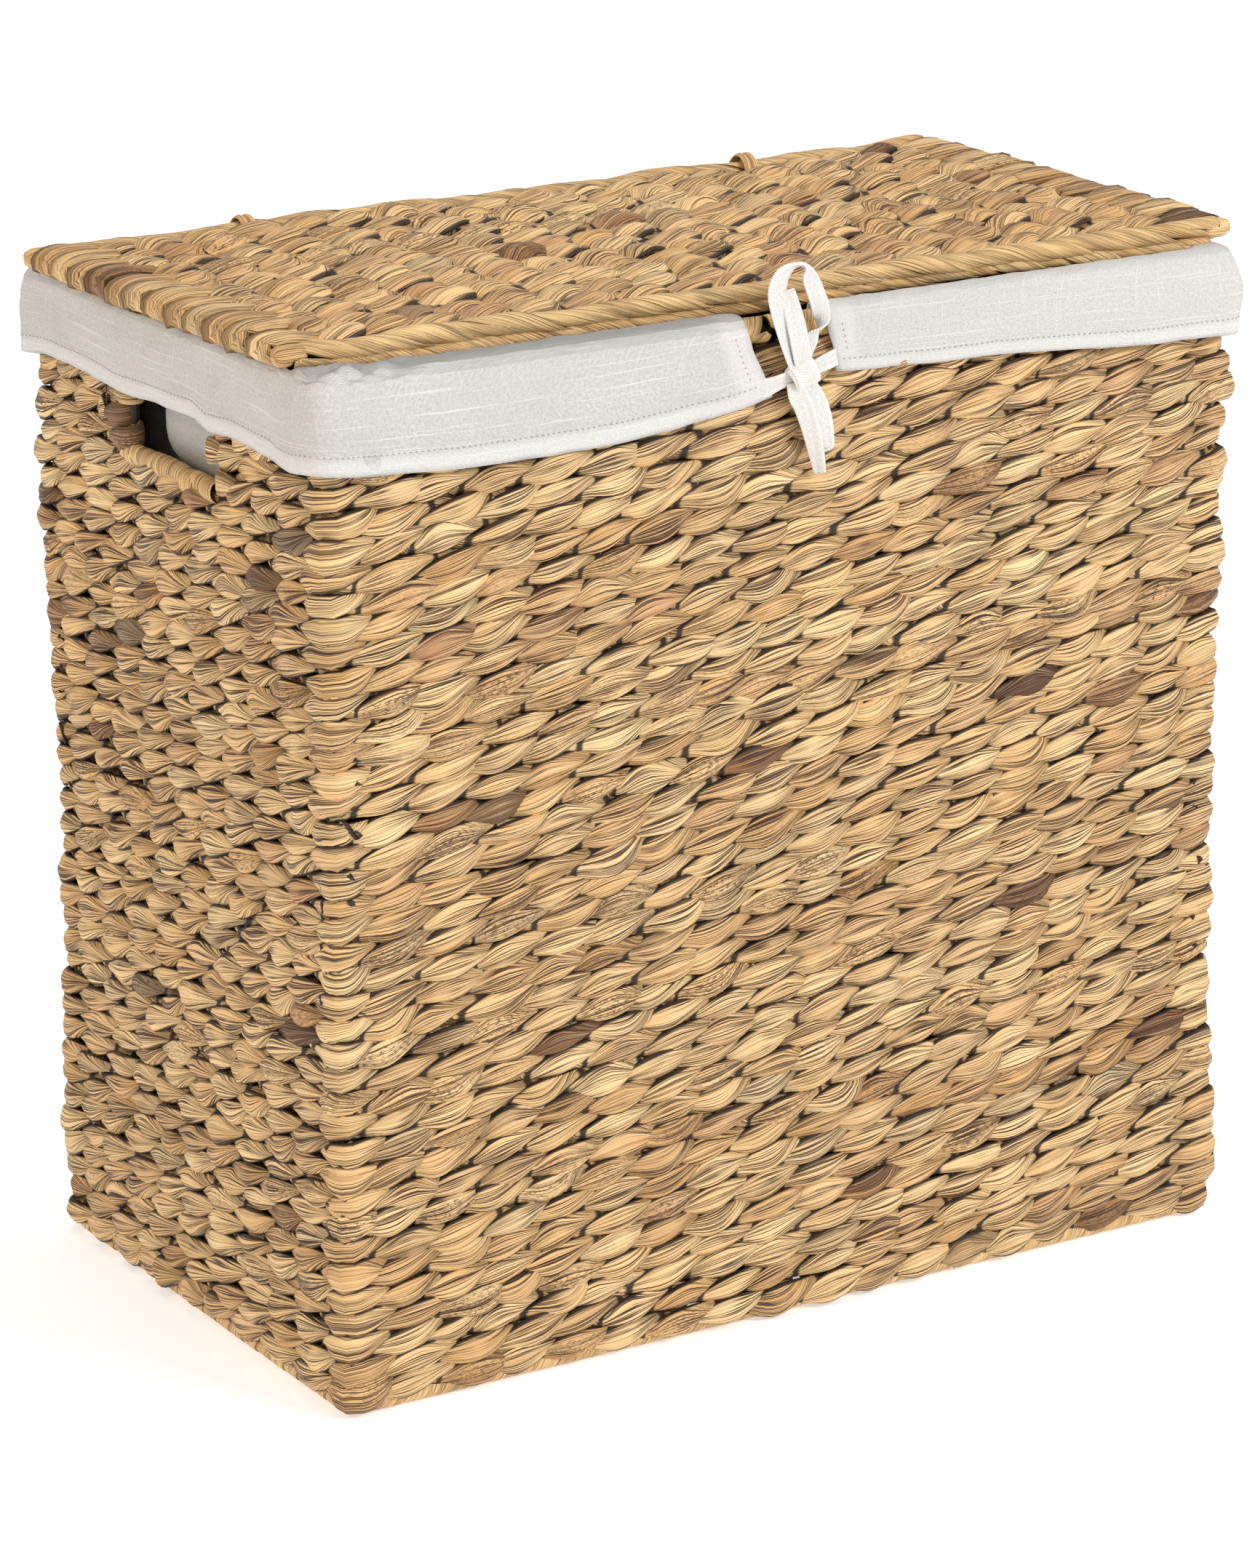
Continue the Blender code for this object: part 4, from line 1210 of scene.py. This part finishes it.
def spline(values, steps):
    """Catmull-Rom through the rows of values, with so many steps between each."""
    values = np.array(values, float)
    padded = np.concatenate([2 * values[:1] - values[1:2], values, 2 * values[-1:] - values[-2:-1]])
    out = []
    for i in range(len(values) - 1):
        p0, p1, p2, p3 = padded[i : i + 4]
        t = np.linspace(0, 1, steps, endpoint=False)[:, None]
        square, cube = 2 * p0 - 5 * p1 + 4 * p2 - p3, 3 * p1 - p0 - 3 * p2 + p3
        out.append(0.5 * (2 * p1 + (p2 - p0) * t + square * t**2 + cube * t**3))
    return np.concatenate(out + [values[-1:]])


def ribbon(name, path, widths, facing, material, node, seed):
    """A flat folded tape along a path. facing is the direction that its face looks in at each point."""
    generator = np.random.default_rng([SEED, seed, 5])
    tangent = unit(np.gradient(path, axis=0))
    face = unit(facing - tangent * (facing * tangent).sum(-1, keepdims=True))
    across = np.cross(tangent, face)
    v = np.linspace(-1, 1, 9)[None, :]
    distance = distances(path)[:, None]
    crown = 0.0004 * (1 - v**2) + 0.00030 * np.exp(-(((np.abs(v) - 0.80) / 0.12) ** 2))
    crease = -0.0004 * np.exp(-(((v - 0.25 * np.sin(distance * 60 + generator.uniform(0, 6))) / 0.16) ** 2))
    points = swept(path, across, v * widths[:, None] / 2, face, crown + crease)
    fold = 0.35 + 0.65 * np.clip((np.abs(v) - 0.6) / 0.2, 0, 1)
    cloth = together(points.shape[:2], distance + seed, v * RIBBON_WIDTH / 2 + 0.5, fold)
    made = cloth_grid(name, points, cloth, material, TAPE_THICKNESS)
    soft = made.modifiers.new("rounding", "SUBSURF")
    soft.levels = soft.render_levels = 1
    stand_for(made, "basket", "cotton_tape", node)


def make_bow(material):
    """The two ties, knotted in a bow over the slit."""
    cuff_y = -CUFF_FACE_Y - 0.0014
    for number, (name, rows) in enumerate(RIBBONS.items()):
        rows = spline(rows, 6)
        path = np.stack([rows[:, 0], cuff_y - rows[:, 1], rows[:, 2]], -1)
        turn = np.radians(rows[:, 4])
        side = unit(np.cross(unit(np.gradient(path, axis=0)), FORWARDS))
        facing = FORWARDS * np.cos(turn)[:, None] + side * np.sin(turn)[:, None]
        ribbon(name + "_tape", path, rows[:, 3], facing, material, name, number + 1)
    # The knot: a band of the same tape, wound once and a half round the others.
    centre = np.array((-0.0022, cuff_y - 0.0036, 0.5206))
    lean = math.radians(24)
    half_high, half_deep, half_long = 0.0064, 0.0044, 0.0008
    long_way = np.array((math.cos(lean), 0.0, math.sin(lean)))
    turn = np.linspace(-0.2, 2.9 * math.pi, 40)
    grow = 1 + 0.05 * turn / math.pi
    tilt_way = np.array((-math.sin(lean), 0.0, math.cos(lean)))
    path = centre + tilt_way * (half_high * grow * np.cos(turn))[:, None]
    path = path + FORWARDS * (half_deep * grow * np.sin(turn))[:, None]
    path = path + long_way * (half_long * np.cos(turn * 0.5))[:, None]
    facing = unit(path - centre)
    widths = np.full(len(path), KNOT_WIDTH)
    ribbon("bow_knot_band", path, widths, facing, material, "bow_knot", 9)


# ---------------------------------------------------------------- stage


def make_stage():
    floor = bpy.data.meshes.new("floor")
    bm = bmesh.new()
    bmesh.ops.create_grid(bm, x_segments=1, y_segments=1, size=30.0)
    bm.to_mesh(floor)
    bm.free()
    n = Nodes("pale_floor")
    n.fill(n.shader, {"Base Color": (0.80, 0.80, 0.80), "Roughness": 0.9})
    n.fill(n.shader, {"Emission Color": (1, 1, 1), "Emission Strength": 0.45})
    floor.materials.append(n.material)
    ground = link("floor", floor)
    ground.location.z = cad_bounds[0][2] - 0.0002  # just below the foot, so that the two don't flicker


def area_light(name, place, size, power, colour=(1.0, 1.0, 1.0)):
    data = bpy.data.lights.new(name, "AREA")
    data.color = colour
    data.shape = "RECTANGLE"
    data.size, data.size_y = size
    data.energy = power
    light = link(name, data)
    light.location = place
    light.rotation_euler = (CAMERA_TARGET - Vector(place)).to_track_quat("-Z", "Y").to_euler()


def make_lights():
    world = bpy.data.worlds.new("studio")
    bpy.context.scene.world = world
    world.use_nodes = True
    background = world.node_tree.nodes["Background"]
    background.inputs[0].default_value = (1, 1, 1, 1)
    background.inputs[1].default_value = 0.62
    area_light("key", (1.4, -2.8, 2.2), (1.3, 1.0), 72)
    area_light("side", (-2.8, -0.9, 1.9), (1.2, 1.2), 30, (1.0, 0.84, 0.64))
    area_light("top", (0.3, 0.4, 3.0), (1.6, 1.6), 14, (1.0, 0.96, 0.90))
    bpy.context.scene.view_settings.view_transform = "Standard"


def make_camera():
    el, az = CAMERA_ELEVATION, CAMERA_AZIMUTH
    back = Vector((math.sin(az) * math.cos(el), -math.cos(az) * math.cos(el), math.sin(el)))
    level = Vector((math.cos(az), math.sin(az), 0))
    right = level * math.cos(CAMERA_ROLL) + back.cross(level) * math.sin(CAMERA_ROLL)
    data = bpy.data.cameras.new("camera")
    data.lens = CAMERA_LENS
    data.sensor_width = SENSOR_WIDTH
    camera = link("camera", data)
    turn = Matrix((right, back.cross(right), back)).transposed()
    camera.matrix_world = Matrix.Translation(CAMERA_TARGET + back * CAMERA_DISTANCE) @ turn.to_4x4()
    bpy.context.scene.camera = camera


make_camera()
make_lights()
make_stage()
hyacinth = hyacinth_material("twined_hyacinth", tint=(0.96, 0.955, 0.96))
lid_hyacinth = hyacinth_material("lid_hyacinth", tint=(0.95, 0.91, 0.86), lines=0.9)
border = hyacinth_material("border_hyacinth", gloss=0.12, tint=(0.95, 0.92, 0.86), lines=0.6)
cotton = cotton_material("slub_cotton", (0.64, 0.624, 0.604), (0.72, 0.704, 0.684))
tape = cotton_material("twill_tape", (0.80, 0.785, 0.755), (0.86, 0.845, 0.815), twill=True)
make_walls(hyacinth)
make_lid(lid_hyacinth, border)
make_base(hyacinth)
make_wraps(border)
make_hinge_loops(border)
make_liner(cotton)
make_cuff(cotton)
make_bow(tape)
wire = wire_material()
for name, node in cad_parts.items():
    if "wire" in name or "hoop" in name or "post" in name:
        node.data.materials.clear()
        node.data.materials.append(wire)
